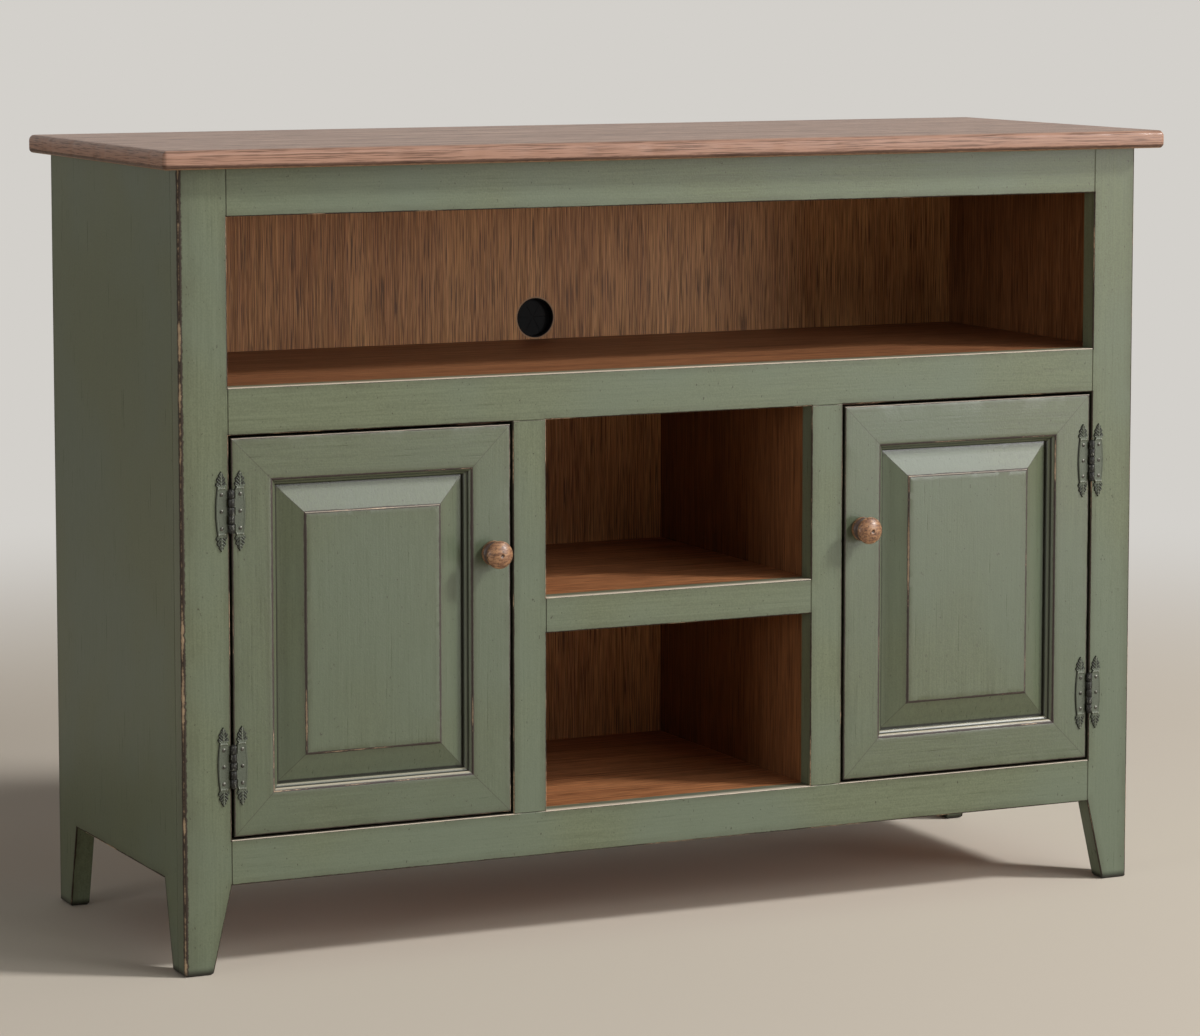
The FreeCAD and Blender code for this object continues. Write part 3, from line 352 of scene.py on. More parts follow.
@dataclass(frozen=True)
class SideEdges(EdgeField):
    """Arrises of a case side: its back edge and the arch between its legs; its joint is with the front stile."""

    front: float = -164.5
    back: float = 205.0
    arch: float = 90.0
    arch_middle: float = 10.0
    arch_half: float = 138.0
    spread: float = 0.25

    def find(self, t: Tree, point: Socket) -> Edges:
        """Measure how far a point on a side is from the arch, the back edge and the stile."""
        x, y, z = t.add("SeparateXYZ", (point,)).node.outputs
        depth = t.add("Math.SUBTRACT", (HALF_WIDTH, t.add("Math.ABSOLUTE", (x,))))
        behind = t.add("Math.SUBTRACT", (self.back, y))
        under = from_arch(t, apart(t, y, self.arch_middle), z, self.arch, self.arch_half, self.spread)
        nearest = t.add("Math.MINIMUM", (behind, under))
        return Edges(t.add("Math.MAXIMUM", (nearest, depth)), t.add("Math.SUBTRACT", (y, self.front)))


@dataclass(frozen=True)
class DoorEdges(EdgeField):
    """Arrises of a door, found by rings: a point's ring is its distance from the nearest outer edge.

    The outer arris is at ring zero, the quirk and the step of the moulding and the edge of the raised field each
    have a ring of their own on the front, and a mitre is where the distances from two outer edges are the same.
    Painted shade darkens the bevel towards the lip of the frame, the lip, the quirk and the step, and the faces
    that line the gap round the door.
    """

    left: float
    right: float
    low: float
    high: float
    face: float
    quirk: float = 42.3
    step: float = 45.8
    lip: float = 49.6
    field_edge: float = 77.6
    quirk_wear: float = 0.1
    gathered: float = 0.1
    gap_reach: float = 0.9
    back: float = 14.0
    lip_dirt: Fade = Fade(0.6, 2.2, 0.95, 0.0)
    quirk_dirt: tuple[float, ...] = (0.3, 1.2, 0.85, 0.0)
    step_dirt: tuple[float, ...] = (0.3, 0.9, 0.85, 0.0)

    def find(self, t: Tree, point: Socket) -> Edges:
        """Measure how far a point is from the rings and the mitres."""
        x, y, z = t.add("SeparateXYZ", (point,)).node.outputs
        depth = t.add("Math.SUBTRACT", (y, self.face))
        sides = within(t, x, self.left, self.right), within(t, z, self.low, self.high)
        ring = t.add("Math.MINIMUM", sides)
        behind = t.add("Math.GREATER_THAN", (depth, self.back))
        shown = t.add("Math.MULTIPLY_ADD", (behind, -FAR, ring))
        quirk = t.add("Math.ADD", (apart(t, shown, self.quirk), self.quirk_wear))
        arris = t.add("Math.MAXIMUM", (ring, depth))
        for line in (quirk, apart(t, shown, self.field_edge)):
            arris = t.add("Math.MINIMUM", (arris, line))
        limit = t.add("Mix", {0: behind, 2: self.field_edge, 3: self.lip})
        inside = t.add("Math.GREATER_THAN", (ring, limit))
        joint = t.add("Math.MULTIPLY_ADD", (inside, FAR, apart(t, *sides)))
        # painted shade: the bevel darkens towards the lip, and the lip, the quirk and the step are darkened
        gathered = t.add("MapRange", (ring, self.lip, self.field_edge, self.gathered, 0.0))
        on_bevel = t.add("Math.GREATER_THAN", (shown, self.lip))
        recess = self.lip_dirt.of(t, apart(t, ring, self.lip))
        for share in (t.add("MapRange", (quirk, *self.quirk_dirt)),
                      t.add("MapRange", (apart(t, shown, self.step), *self.step_dirt)),
                      t.add("Math.MULTIPLY", (gathered, on_bevel))):
            recess = t.add("Math.MAXIMUM", (recess, share))
        # painted shade on the faces that line the gap round the door
        lining = t.add("Math.LESS_THAN", (ring, self.gap_reach))
        hidden = t.add("MapRange", (depth, self.gap_reach, self.gap_reach + 1.0))
        return Edges(arris, joint, recess, t.add("Math.MULTIPLY", (lining, hidden)))


@dataclass(frozen=True)
class BoardEdges(EdgeField):
    """Arrises of a plain board: the long edges of its box, along its fibres."""

    low: Triple
    high: Triple
    grain: Grain

    def find(self, t: Tree, point: Socket) -> Edges:
        """Measure how far a point is from the four long edges, the larger of its two distances inside the box."""
        places = enumerate(t.add("SeparateXYZ", (point,)).node.outputs)
        gaps = [within(t, place, self.low[axis], self.high[axis]) for axis, place in places
                if axis != self.grain.value]
        return Edges(t.add("Math.MAXIMUM", gaps))


# Finishes

@dataclass(frozen=True)
class Finish(ABC):
    """A surface treatment that makes a material for a piece."""

    relief: float = 0.12
    bump: float = 0.6
    soft_arris: float = 0.0
    metallic: float = 0.0
    ior: float = 1.5
    gloss: float = 0.5
    wax: float = 0.0
    wax_roughness: float = 0.3
    rough: Pair = (0.4, 0.6)

    @abstractmethod
    def layer(self, t: Tree, point: Socket) -> Layer:
        """Add the nodes that give colour, roughness and relief at a point in millimetres."""

    def roughened(self, t: Tree, value: Socket) -> Socket:
        """The roughness between its two limits, by a value around one half."""
        return t.add("MapRange", (value, 0.3, 0.7, *self.rough))

    def material(self, name: str) -> bpy.types.Material:
        """Make the material.

        Args:
            name: The name of the new material.
        Returns:
            A material whose shader reads this finish's layer.
        """
        made = bpy.data.materials.new(name)
        t = Tree(made)
        layer = self.layer(t, t.point())
        bump = {"Strength": self.bump, "Distance": self.relief * MM, "Height": layer.height}
        if self.soft_arris:
            bump["Normal"] = t.add("Bevel", (self.soft_arris * MM,), samples=ARRIS_SAMPLES)
        shader = t.add("BsdfPrincipled", {
            "Base Color": layer.colour, "Roughness": layer.roughness, "Normal": t.add("Bump", bump),
            "IOR": self.ior, "Metallic": self.metallic, "Specular IOR Level": self.gloss,
            "Coat Weight": self.wax, "Coat Roughness": self.wax_roughness})
        t.add("OutputMaterial", (shader,))
        return made


@dataclass(frozen=True)
class SagePaint(Finish):
    """Eggshell paint brushed over dark-stained wood, rubbed through at the arrises and glazed brown.

    To the eye it is a soft grey-green with a fine mottle, faint brush marks along the fibres and a few dark nicks.
    The arrises show tan bare wood with a broken dark line of stain beside it; upper arrises turn cream, which is
    rubbed wear and a painted highlight. Painted shade darkens recesses and the faces that line gaps, stain darkens
    joints, and the paint is darker within a few millimetres of the floor. Brush marks and mottle are about 1 mm
    wide and are drawn about 2 mm wide, because finer ones don't show.
    """

    grain: Grain = Grain.UPRIGHT
    edges: EdgeField = FrameEdges()
    soft_arris: float = 1.0
    gloss: float = 0.32
    rough: Pair = (0.27, 0.38)
    bare_rough: float = 0.66
    pale: str = "#6B7259"
    deep: str = "#60664F"
    cool: str = "#667060"
    glaze: str = "#3F3D2B"
    stain: str = "#2B1B13"
    bare: str = "#B39A7C"
    cream: str = "#E0D2BC"
    # near-black brown: the colour of painted shade in recesses and gaps, and of the darkening near the floor
    dirt: str = "#17120D"
    wear: float = 0.6
    rub: float = 0.5
    line: float = 1.8
    seam: float = 0.65
    settled: float = 0.92
    sooted: float = 0.72
    chip_depth: float = 1.6
    worn_depth: float = -0.7
    brush: Marks = Marks((85, 2.4), 3)
    mottle: Marks = Marks((1.9, 1.9, 1.9), 2, 15.1)
    nick: Marks = Marks((2.6, 2.6, 4.6), 1, 31.7)
    fibre: Marks = Marks((20, 1.5), 2, 7.3)
    cloud: Marks = Marks((230, 230, 230), 2, 3.1)
    drift: Marks = Marks((46, 46, 46), 2, 11.7)
    patch: Marks = Marks((70, 70, 70), 2, 23.3)
    chip: Marks = Marks((5, 5, 5), 5, 5.9)
    tone: Fade = Fade(0.74, 1.26)
    veil: Fade = Fade(0.36, 0.66, 0.0, 0.7)
    stroke: Fade = Fade(0.56, 0.76, 0.0, 0.2)
    nicked: Fade = Fade(0.73, 0.79, 0.0, 0.6)
    smear: Fade = Fade(0.5, 10.0, 0.5, 0.0)
    stained: Fade = Fade(-0.3, 0.3, 0.93, 0.0)
    bared: Fade = Fade(-0.35, 0.3, 0.95, 0.0)
    # painted highlight and rubbed wear: how much cream shows where a face turns up
    upper: Fade = Fade(0.4, 0.8, 0.0, 0.85)
    rubbed: Fade = Fade(4.0, 11.0, 1.0, 0.1)
    soiled: Fade = Fade(1.5, 9.0, 0.9, 0.0)

    def layer(self, t: Tree, point: Socket) -> Layer:
        """Mix brush marks, glaze, stain and bare wood by the distance from the arrises."""
        edges = self.edges.find(t, point)
        brush, fibre, drift = (marks.at(t, point, self.grain) for marks in (self.brush, self.fibre, self.drift))
        marks = t.add("Math.ADD", (brush, self.mottle.at(t, point)))
        colour = coat(t, self.deep, self.pale, self.tone.of(t, marks))
        colour = coat(t, colour, self.cool, self.veil.of(t, self.cloud.at(t, point)))
        colour = coat(t, colour, self.glaze, self.stroke.of(t, fibre))
        colour = coat(t, colour, self.stain, self.nicked.of(t, self.nick.at(t, point)))
        colour = coat(t, colour, self.glaze, self.smear.of(t, edges.arris), drift)
        # painted shade: recesses are darkened towards near-black brown
        if edges.recess:
            colour = coat(t, colour, self.dirt, edges.recess, self.settled)
        if edges.joint:
            colour = coat(t, colour, self.stain, Fade(0.3, 0.8, self.seam, 0.0).of(t, edges.joint))
        ragged = t.add("Math.MULTIPLY_ADD", (self.chip.at(t, point), self.chip_depth, edges.arris))
        line = Fade(0.36, 0.6, self.line, 1.5 + self.wear).of(t, drift)
        stained = self.stained.of(t, t.add("Math.SUBTRACT", (ragged, line)))
        colour = coat(t, colour, self.stain, stained)
        reach = Fade(0.46, 0.66, self.rub, 0.9 + self.wear).of(t, self.patch.at(t, point))
        colour = coat(t, colour, self.bare, self.bared.of(t, t.add("Math.SUBTRACT", (ragged, reach))))
        # painted highlight and rubbed wear: faces that turn up near an arris turn cream, less in recesses
        if self.soft_arris:
            normal = t.add("Bevel", (self.soft_arris * MM,), samples=ARRIS_SAMPLES)
        else:
            normal = t.add("NewGeometry", output="True Normal")
        shares = [self.upper.of(t, t.add("SeparateXYZ", (normal,), 2)), self.rubbed.of(t, edges.arris)]
        if edges.recess:
            shares.append(t.add("MapRange", (edges.recess, 0.05, 0.6, 0.7, 0.0)))
        colour = coat(t, colour, self.cream, *shares)
        # painted shade: the faces that line a door's gap are darkened
        if edges.gap:
            colour = coat(t, colour, self.dirt, edges.gap, self.sooted)
        # the paint is darker within a few millimetres of the floor
        colour = coat(t, colour, self.dirt, self.soiled.of(t, t.add("SeparateXYZ", (point,), 2)))
        roughness = t.add("Mix", {0: stained, 2: self.roughened(t, brush), 3: self.bare_rough})
        return Layer(colour, roughness, t.add("Math.MULTIPLY_ADD", (stained, self.worn_depth, marks)))


@dataclass(frozen=True)
class StainedOak(Finish):
    """Oak veneer under a brown stain and a thin satin lacquer.

    To the eye it is warm brown, with fine broken dark pores along the fibres and slow bands of lighter wood.
    Pores are about 0.3 mm wide and are drawn 1 mm wide, because finer ones don't show.
    """

    grain: Grain = Grain.UPRIGHT
    soft_arris: float = 0.6
    gloss: float = 0.4
    rough: Pair = (0.56, 0.44)
    deep: str = "#83552F"
    warm: str = "#A06B40"
    light: str = "#C69159"
    pore: str = "#3B200C"
    pores: float = 0.8
    band_size: Pair = (520.0, 30.0)
    line_size: Pair = (120.0, 1.4)
    pore_size: Pair = (55.0, 1.0)
    tone: Fade = Fade(0.32, 0.68)
    glow: Fade = Fade(0.38, 0.68, 0.0, 0.3)
    shine: Fade = Fade(0.52, 0.66, 0.0, 0.6)

    def layer(self, t: Tree, point: Socket) -> Layer:
        """Mix bands, lines and pores along the fibres."""
        band, line, fleck, pore = (marks.at(t, point, self.grain) for marks in (
            Marks(self.band_size, 2, 1.7), Marks(self.line_size, 4), Marks(self.pore_size, 1, 9.4),
            Marks(self.pore_size, 2, 4.9)))
        colour = coat(t, self.deep, self.warm, self.tone.of(t, line))
        colour = coat(t, colour, self.light, self.glow.of(t, band))
        colour = coat(t, colour, self.light, self.shine.of(t, fleck))
        dash = Fade(0.5, 0.62, 0.0, self.pores).of(t, pore)
        colour = coat(t, colour, self.pore, dash)
        return Layer(colour, self.roughened(t, line), t.add("Math.MULTIPLY_ADD", (dash, -1.0, line)))


@dataclass(frozen=True)
class DrilledOak(StainedOak):
    """The stained oak of the back, drawn lighter than the other oak as painted light, with a thin ring of bare
    wood where the cable hole was drilled through it.
    """

    centre: Triple = (0.0, 176.0, 608.7)
    ring: Pair = (23.3, 23.7)
    # painted light: lighter tones than the other stained oak
    deep: str = "#9E6936"
    warm: str = "#C28552"
    light: str = "#EAB072"
    pore: str = "#4A2911"
    bare: str = "#B08C6A"

    def layer(self, t: Tree, point: Socket) -> Layer:
        """Bare the stain by the distance from the axis of the hole."""
        plain = super().layer(t, point)
        _, radius = from_axis(t, point, self.centre)
        bared = t.add("MapRange", (radius, *self.ring, 0.8, 0.0))
        return replace(plain, colour=coat(t, plain.colour, self.bare, bared))


@dataclass(frozen=True)
class RubbedTop(StainedOak):
    """The stained oak of the top board, its edge rubbed lighter and its lower arris worn through.

    To the eye the face is a dull brown with long streaks, and the edge is paler, with dark scratches and a thin
    tan line along its foot.
    """

    grain: Grain = Grain.ACROSS
    soft_arris: float = 0.0
    gloss: float = 0.08
    wax: float = 0.26
    wax_roughness: float = 0.2
    deep: str = "#6E5143"
    warm: str = "#B18E7A"
    light: str = "#C6A48F"
    pore: str = "#2A1A13"
    pores: float = 0.6
    line_size: Pair = (260.0, 3.4)
    pore_size: Pair = (38.0, 1.6)
    rubbed: str = "#A5806D"
    tan: str = "#B58F6D"
    half_length: float = 570.0
    front: float = -210.0
    back: float = 211.0
    bottom: float = 801.0
    chip: Marks = Marks((9, 3, 2.2), 4, 2.3)
    chip_depth: float = 2.2
    scratch: Marks = Marks((52, 34, 1.2), 3, 8.8)
    edge: Fade = Fade(2.0, 6.5, 1.0, 0.0)
    scored: Fade = Fade(0.46, 0.66, 0.0, 0.6)
    dark: Fade = Fade(4.4, 6.4, 0.7, 0.0)
    worn: Fade = Fade(1.9, 2.7, 0.6, 0.0)

    def layer(self, t: Tree, point: Socket) -> Layer:
        """Rub the plain stain by the distance from the outline and the height above the underside."""
        plain = super().layer(t, point)
        x, y, z = t.add("SeparateXYZ", (point,)).node.outputs
        side = t.add("Math.SUBTRACT", (self.half_length, t.add("Math.ABSOLUTE", (x,))))
        inset = t.add("Math.MINIMUM", (within(t, y, self.front, self.back), side))
        rise = t.add("Math.SUBTRACT", (z, self.bottom))
        ragged = t.add("Math.MULTIPLY_ADD", (self.chip.at(t, point), self.chip_depth, rise))
        edge = self.edge.of(t, inset)
        colour = coat(t, plain.colour, self.rubbed, edge)
        colour = coat(t, colour, self.pore, self.scored.of(t, self.scratch.at(t, point)), edge)
        colour = coat(t, colour, self.pore, self.dark.of(t, ragged), edge)
        return replace(plain, colour=coat(t, colour, self.tan, self.worn.of(t, ragged), edge))


@dataclass(frozen=True)
class TwoTone(Finish):
    """A case side: paint outside, and stained oak on the face that closes the inside."""

    outside: Finish = SagePaint()
    inside: Finish = StainedOak()
    inner_face: float = 527.0
    tolerance: float = 0.3
    deck: float = 116.0
    soft_arris: float = 1.0
    gloss: float = 0.2

    def layer(self, t: Tree, point: Socket) -> Layer:
        """Show the stain where a point is on the inner face and above the deck."""
        x, _, z = t.add("SeparateXYZ", (point,)).node.outputs
        facing = t.add("Math.LESS_THAN", (t.add("Math.ABSOLUTE", (x,)), self.inner_face + self.tolerance))
        share = t.add("Math.MULTIPLY", (facing, t.add("Math.GREATER_THAN", (z, self.deck))))
        return self.inside.layer(t, point).over(t, self.outside.layer(t, point), share)


@dataclass(frozen=True)
class TurnedOak(Finish):
    """Oak turned on a lathe, stained and rubbed.

    To the eye the knob is warm brown and mottled with dark flecks, dark in the neck, where stain lies and painted
    shade is drawn, and in the centre mark of the head.
    """

    centre: Triple = (213.3, FACE, 405.0)
    wax: float = 0.25
    rough: Pair = (0.5, 0.36)
    warm: str = "#A87D59"
    deep: str = "#775138"
    fleck: str = "#2E1A10"
    neck: float = 9.6
    fibre: Marks = Marks((9, 3, 2.6), 3)
    speck: Marks = Marks((2.4, 2.0, 1.8), 3, 6.1)
    fleck_depth: float = -0.6
    tone: Fade = Fade(0.36, 0.64)
    flecked: Fade = Fade(0.54, 0.66, 0.0, 0.85)
    marked: Fade = Fade(1.2, 2.4, 0.85, 0.0)
    necked: Fade = Fade(3.6, 5.8, 0.92, 0.0)

    def layer(self, t: Tree, point: Socket) -> Layer:
        """Mix fibres that run with the axis, flecks, and stain by the distance from the axis and from the door,
        where the neck also gets painted shade.
        """
        x, y, z = t.add("SeparateXYZ", (point,)).node.outputs
        place = t.add("CombineXYZ", (t.add("Math.ABSOLUTE", (x,)), y, z))
        local, radius = from_axis(t, place, self.centre)
        line = self.fibre.at(t, point)
        colour = coat(t, self.deep, self.warm, self.tone.of(t, line))
        flecked = self.flecked.of(t, self.speck.at(t, point))
        colour = coat(t, colour, self.fleck, flecked)
        # stain and painted shade darken the neck between base and head
        neck = self.necked.of(t, apart(t, t.add("SeparateXYZ", (local,), 1), -self.neck))
        dark = t.add("Math.MAXIMUM", (self.marked.of(t, radius), neck))
        relief = t.add("Math.MULTIPLY_ADD", (flecked, self.fleck_depth, line))
        return Layer(coat(t, colour, self.fleck, dark), self.roughened(t, line), relief)


@dataclass(frozen=True)
class AntiquedHinge(Finish):
    """Stamped iron hinges, painted over with the case and rubbed back.

    To the eye the leaves are nearly the colour of the paint, black in their hollows, which is patina, and round
    their rims, which is painted shade, with grey on the ridges, where iron is rubbed bare and a painted highlight
    is drawn as glints, and the barrels are near black with painted grey glints.
    """

    axis: float = 495.5
    barrel: float = 3.5
    relief: float = 0.2
    metallic: float = 0.2
    rough: Pair = (0.36, 0.56)
    film: str = "#545A4C"
    black: str = "#12110D"
    glint: str = "#9A9B8E"
    chip: Marks = Marks((1.6, 1.6, 2.2), 3, 2.9)
    chip_depth: float = 0.7
    grit: Marks = Marks((1.1, 1.1, 1.1), 2, 12.4)
    filmed: Fade = Fade(1.45, 1.75)
    rubbed: Fade = Fade(2.25, 2.5, 0.0, 0.8)
    pitted: Fade = Fade(0.58, 0.7, 0.0, 0.6)
    worn: Fade = Fade(0.56, 0.7, 0.0, 0.55)

    def layer(self, t: Tree, point: Socket) -> Layer:
        """Choose black, paint or glint by the height above the face and the distance from the pin."""
        x, y, _ = t.add("SeparateXYZ", (point,)).node.outputs
        off = apart(t, t.add("Math.ABSOLUTE", (x,)), self.axis)
        height = t.add("Math.SUBTRACT", (FACE, y))
        chip = self.chip.at(t, point)
        ragged = t.add("Math.MULTIPLY_ADD", (chip, self.chip_depth, height))
        # black below the paint film: patina in the hollows and painted shade round the rims
        colour = coat(t, self.black, self.film, self.filmed.of(t, ragged))
        # grey on the ridges: rubbed bare iron with a painted highlight
        colour = coat(t, colour, self.glint, self.rubbed.of(t, ragged))
        colour = coat(t, colour, self.black, self.pitted.of(t, self.grit.at(t, point)))
        # painted highlight: grey glints scattered on the near-black barrel
        bar = coat(t, self.black, self.glint, self.worn.of(t, chip))
        on_barrel = t.add("MapRange", (off, self.barrel, self.barrel + 0.5, 1.0, 0.0))
        return Layer(coat(t, colour, bar, on_barrel), self.roughened(t, chip), chip)


@dataclass(frozen=True)
class Speckled(Finish):
    """A plain stuff with fine tonal grit: zinc-plated steel, ferrite, rubber or raw beech.

    To the eye it is one colour that two close tones break up, with a roughness that varies with them.
    """

    pale: str = "#B9BABB"
    deep: str = "#8F9192"
    size: Triple = (2.0, 2.0, 2.0)
    rough: Pair = (0.26, 0.42)
    tone: Fade = Fade(0.32, 0.68)

    def layer(self, t: Tree, point: Socket) -> Layer:
        """Mix two tones by fine noise, which sets the roughness and the relief too."""
        grit = Marks(self.size, 3).at(t, point)
        return Layer(coat(t, self.deep, self.pale, self.tone.of(t, grit)), self.roughened(t, grit), grit)


# Doors have real arrises, and were rubbed with one more coat of wax than the frame.
DOOR_PAINT = partial(SagePaint, soft_arris=0.0, gloss=0.68, seam=0.5, wear=0.4, line=2.3, rub=0.35, pale="#5A6248",
                     deep="#505740", cool="#56614E")
# Lit and shaded copies of one stained oak, as painted light and shade: the partitions and the inner faces of the
# sides darker, the shelves darker, the cubby floors lighter.
SHADED_PARTITION_OAK = StainedOak(deep="#5F3A1E", warm="#825331", light="#9B6A42")
SHADED_SHELF_OAK = StainedOak(grain=Grain.ACROSS, deep="#6A4026", warm="#986340", light="#AA754C", pores=0.5,
                       line_size=(300.0, 5.0), pore_size=(40.0, 2.0))
LIT_CUBBY_OAK = replace(SHADED_SHELF_OAK, deep="#7C4D2F", warm="#B4764B", light="#C4885A")
CROSS_OAK = StainedOak(grain=Grain.DEEP)
ZINC_STEEL = Speckled(metallic=1.0, relief=0.03)
DARK_STEEL = Speckled(metallic=0.8, relief=0.05, pale="#77766E", deep="#3A3933", rough=(0.36, 0.52))
FERRITE = Speckled(pale="#3A3A3C", deep="#2A2A2C", rough=(0.5, 0.7))
BLACK_RUBBER = Speckled(pale="#121214", deep="#0C0C0D", size=(1.2, 1.2, 1.2), rough=(0.6, 0.75), gloss=0.2)
RAW_BEECH = Speckled(pale="#C6A27A", deep="#AD875F", size=(2.0, 2.0, 18.0), rough=(0.55, 0.7))


# Surfaces

@dataclass
class Shell:
    """A closed surface: corners in millimetres, four-sided faces and the flat caps that close its ends."""

    corners: np.ndarray
    quads: np.ndarray
    caps: list[np.ndarray] = field(default_factory=list)

    def outward(self) -> Shell:
        """Turn the faces outwards, so that the signed volumes under them add up to more than nothing.

        Returns:
            This shell.
        """
        p = self.corners - self.corners.mean(0)
        a, b, c, d = (p[self.quads[:, k]] for k in range(4))
        volume = np.sum(a * np.cross(b, c)) + np.sum(a * np.cross(c, d))
        for cap in self.caps:
            rim = p[cap]
            volume += np.sum(np.cross(rim[1:-1], rim[2:]) @ rim[0])
        if volume < 0:
            self.quads = self.quads[:, ::-1]
            self.caps = [cap[::-1] for cap in self.caps]
        return self

    def faces(self, start: int = 0) -> list[list[int]]:
        """All faces as lists of corners, counted from a start."""
        return (self.quads + start).tolist() + [(cap + start).tolist() for cap in self.caps]


def woven(points: np.ndarray, closed: bool = False) -> Shell:
    """Join loops of corners into a surface.

    Args:
        points: Corners as rows of loops, in an array of rows by columns by three.
        closed: Whether the last loop joins the first; otherwise a flat cap closes each end.
    Returns:
        Four-sided faces between neighbours in both directions, in the order of the rows.
    """
    rows, columns = points.shape[:2]
    number = np.arange(rows * columns).reshape(rows, columns)
    here = number if closed else number[:-1]
    there = np.roll(number, -1, 0) if closed else number[1:]
    quads = np.stack([here, there, np.roll(there, -1, 1), np.roll(here, -1, 1)], -1).reshape(-1, 4)
    return Shell(points.reshape(-1, 3), quads, [] if closed else [number[0], number[-1][::-1]])


def carried(points: np.ndarray, closed: bool = False) -> Shell:
    """Join loops of corners into a closed surface that faces outwards."""
    return woven(points, closed).outward()


def spline(knots: Sequence[Sequence[float]], steps: int) -> np.ndarray:
    """A smooth curve through knots: on each span a cubic whose slope at a knot is half the step between its
    neighbours.

    Args:
        knots: The points that the curve goes through.
        steps: Points on each span.
    Returns:
        The points of the curve, the last knot included.
    """
    k = np.asarray(knots, float)
    k = np.vstack([2 * k[0] - k[1], k, 2 * k[-1] - k[-2]])
    a, b, c, d = k[:-3], k[1:-2], k[2:-1], k[3:]
    t = np.linspace(0, 1, steps, endpoint=False)[:, None, None]
    curve = b + t * ((c - a) + t * ((2 * a - 5 * b + 4 * c - d) + t * (3 * (b - c) + d - a))) / 2
    return np.vstack([curve.transpose(1, 0, 2).reshape(-1, k.shape[1]), k[-2]])


def wander(along: np.ndarray, pitch: float, seed: int) -> np.ndarray:
    """A slow random curve between zero and one: six sines of falling length and height with seeded phases.

    Args:
        along: Places along an edge.
        pitch: The length of the longest wave.
        seed: Sets the phases.
    Returns:
        One value for each place.
    """
    order = np.arange(1, 7) ** 1.3
    phase = np.random.default_rng(seed).uniform(0, 2 * math.pi, 6)
    waves = np.sin(2 * math.pi * along[..., None] / pitch * order + phase) / order ** 0.7
    return 0.5 + 0.5 * np.tanh(waves.sum(-1))


def bell(distance: np.ndarray, width: float) -> np.ndarray:
    """One at no distance, falling off as the exponential of minus the square of the distance in widths."""
    return np.exp(-(distance / width) ** 2)


def travelled(loop: np.ndarray) -> np.ndarray:
    """How far along a closed loop the end of each of its steps is."""
    return np.cumsum(np.linalg.norm(np.diff(loop, axis=0, append=loop[:1]), axis=1))


def crosswise(axis: Sequence[float]) -> tuple[np.ndarray, np.ndarray, np.ndarray]:
    """An axis and two directions square to it, found by turning its numbers round and by the cross product."""
    along = np.asarray(axis, float)
    first = np.roll(along, 1)
    return along, first, np.cross(along, first)


def lathed(profile: np.ndarray, base: Sequence[float], axis: Sequence[float], columns: int) -> np.ndarray:
    """Turn a profile about an axis: each height and radius becomes a circle of corners.

    Args:
        profile: Rows of height along the axis and radius.
        base: The point at height zero.
        axis: The direction of the axis, of length one.
        columns: Corners round each circle.
    Returns:
        Loops of corners, one for each row.
    """
    along, first, second = crosswise(axis)
    angle = np.linspace(0, 2 * math.pi, columns, endpoint=False)[:, None]
    circle = np.cos(angle) * first + np.sin(angle) * second
    return np.asarray(base) + profile[:, :1, None] * along + profile[:, 1:, None] * circle


def rounded_loops(half: np.ndarray, radius: np.ndarray, arc: int, side: int) -> np.ndarray:
    """Rectangles with round corners: quarter circles about four centres, joined by straight runs.

    Args:
        half: Half the width and half the height of each rectangle.
        radius: The corner radius of each rectangle.
        arc: Corners on each quarter circle.
        side: Corners on each straight run.
    Returns:
        One loop for each rectangle, as places across and up.
    """
    turn = np.linspace(0, QUARTER, arc) if arc > 1 else np.array([QUARTER / 2])
    share = np.linspace(0, 1, side + 2)[1:-1][None, :, None]
    rounds = []
    for quarter, sign in enumerate(np.array([(1, 1), (-1, 1), (-1, -1), (1, -1)])):
        angle = turn + quarter * QUARTER
        circle = np.stack([np.cos(angle), np.sin(angle)], -1)
        rounds.append((sign * (half - radius[:, None]))[:, None] + radius[:, None, None] * circle)
    runs = []
    for here, there in zip(rounds, rounds[1:] + rounds[:1]):
        runs += [here, here[:, -1:] + (there[:, :1] - here[:, -1:]) * share]
    return np.concatenate(runs, 1)


def new_piece(name: str, shells: Sequence[Shell], body: str, material: bpy.types.Material, slot: str,
              *nodes: str, crease: float = 32.0) -> None:
    """Put shells into one mesh, and let it ride on a body in place of nodes of the frame.

    Args:
        name: The name of the piece.
        shells: Closed surfaces in millimetres.
        body: The body that it moves with.
        material: Its finish.
        slot: The record's slot that the finish stands for; it is not used.
        nodes: The nodes that it replaces.
        crease: Edges that turn by more than this many degrees stay sharp.
    """
    starts = np.cumsum([0] + [len(shell.corners) for shell in shells])
    faces = [face for shell, start in zip(shells, starts) for face in shell.faces(start)]
    mesh = bpy.data.meshes.new(name)
    mesh.from_pydata(np.concatenate([shell.corners for shell in shells]) * MM, [], faces)
    mesh.shade_smooth()
    mesh.set_sharp_from_angle(angle=math.radians(crease))
    mesh.materials.append(material)
    piece = bpy.data.objects.new(name, mesh)
    bpy.context.scene.collection.objects.link(piece)
    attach(piece, body)
    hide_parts(*nodes)
    LOG.info("%s rides on %s: %d corners", name, body, len(mesh.vertices))


def dress(material: bpy.types.Material, *names: str) -> None:
    """Give nodes of the frame their finish.

    Args:
        material: What all their slots get.
        names: The nodes.
    """
    for name in names:
        node = frame["nodes"][name]
        if not node.material_slots:
            node.data.materials.append(material)
        for slot in node.material_slots:
            slot.material = material
        LOG.info("%s wears %s", name, material.name)


# Sub-assemblies

class Assembly(ABC):
    """A group of pieces that belong together."""

    @abstractmethod
    def build(self) -> None:
        """Make the pieces and dress the nodes of this group."""


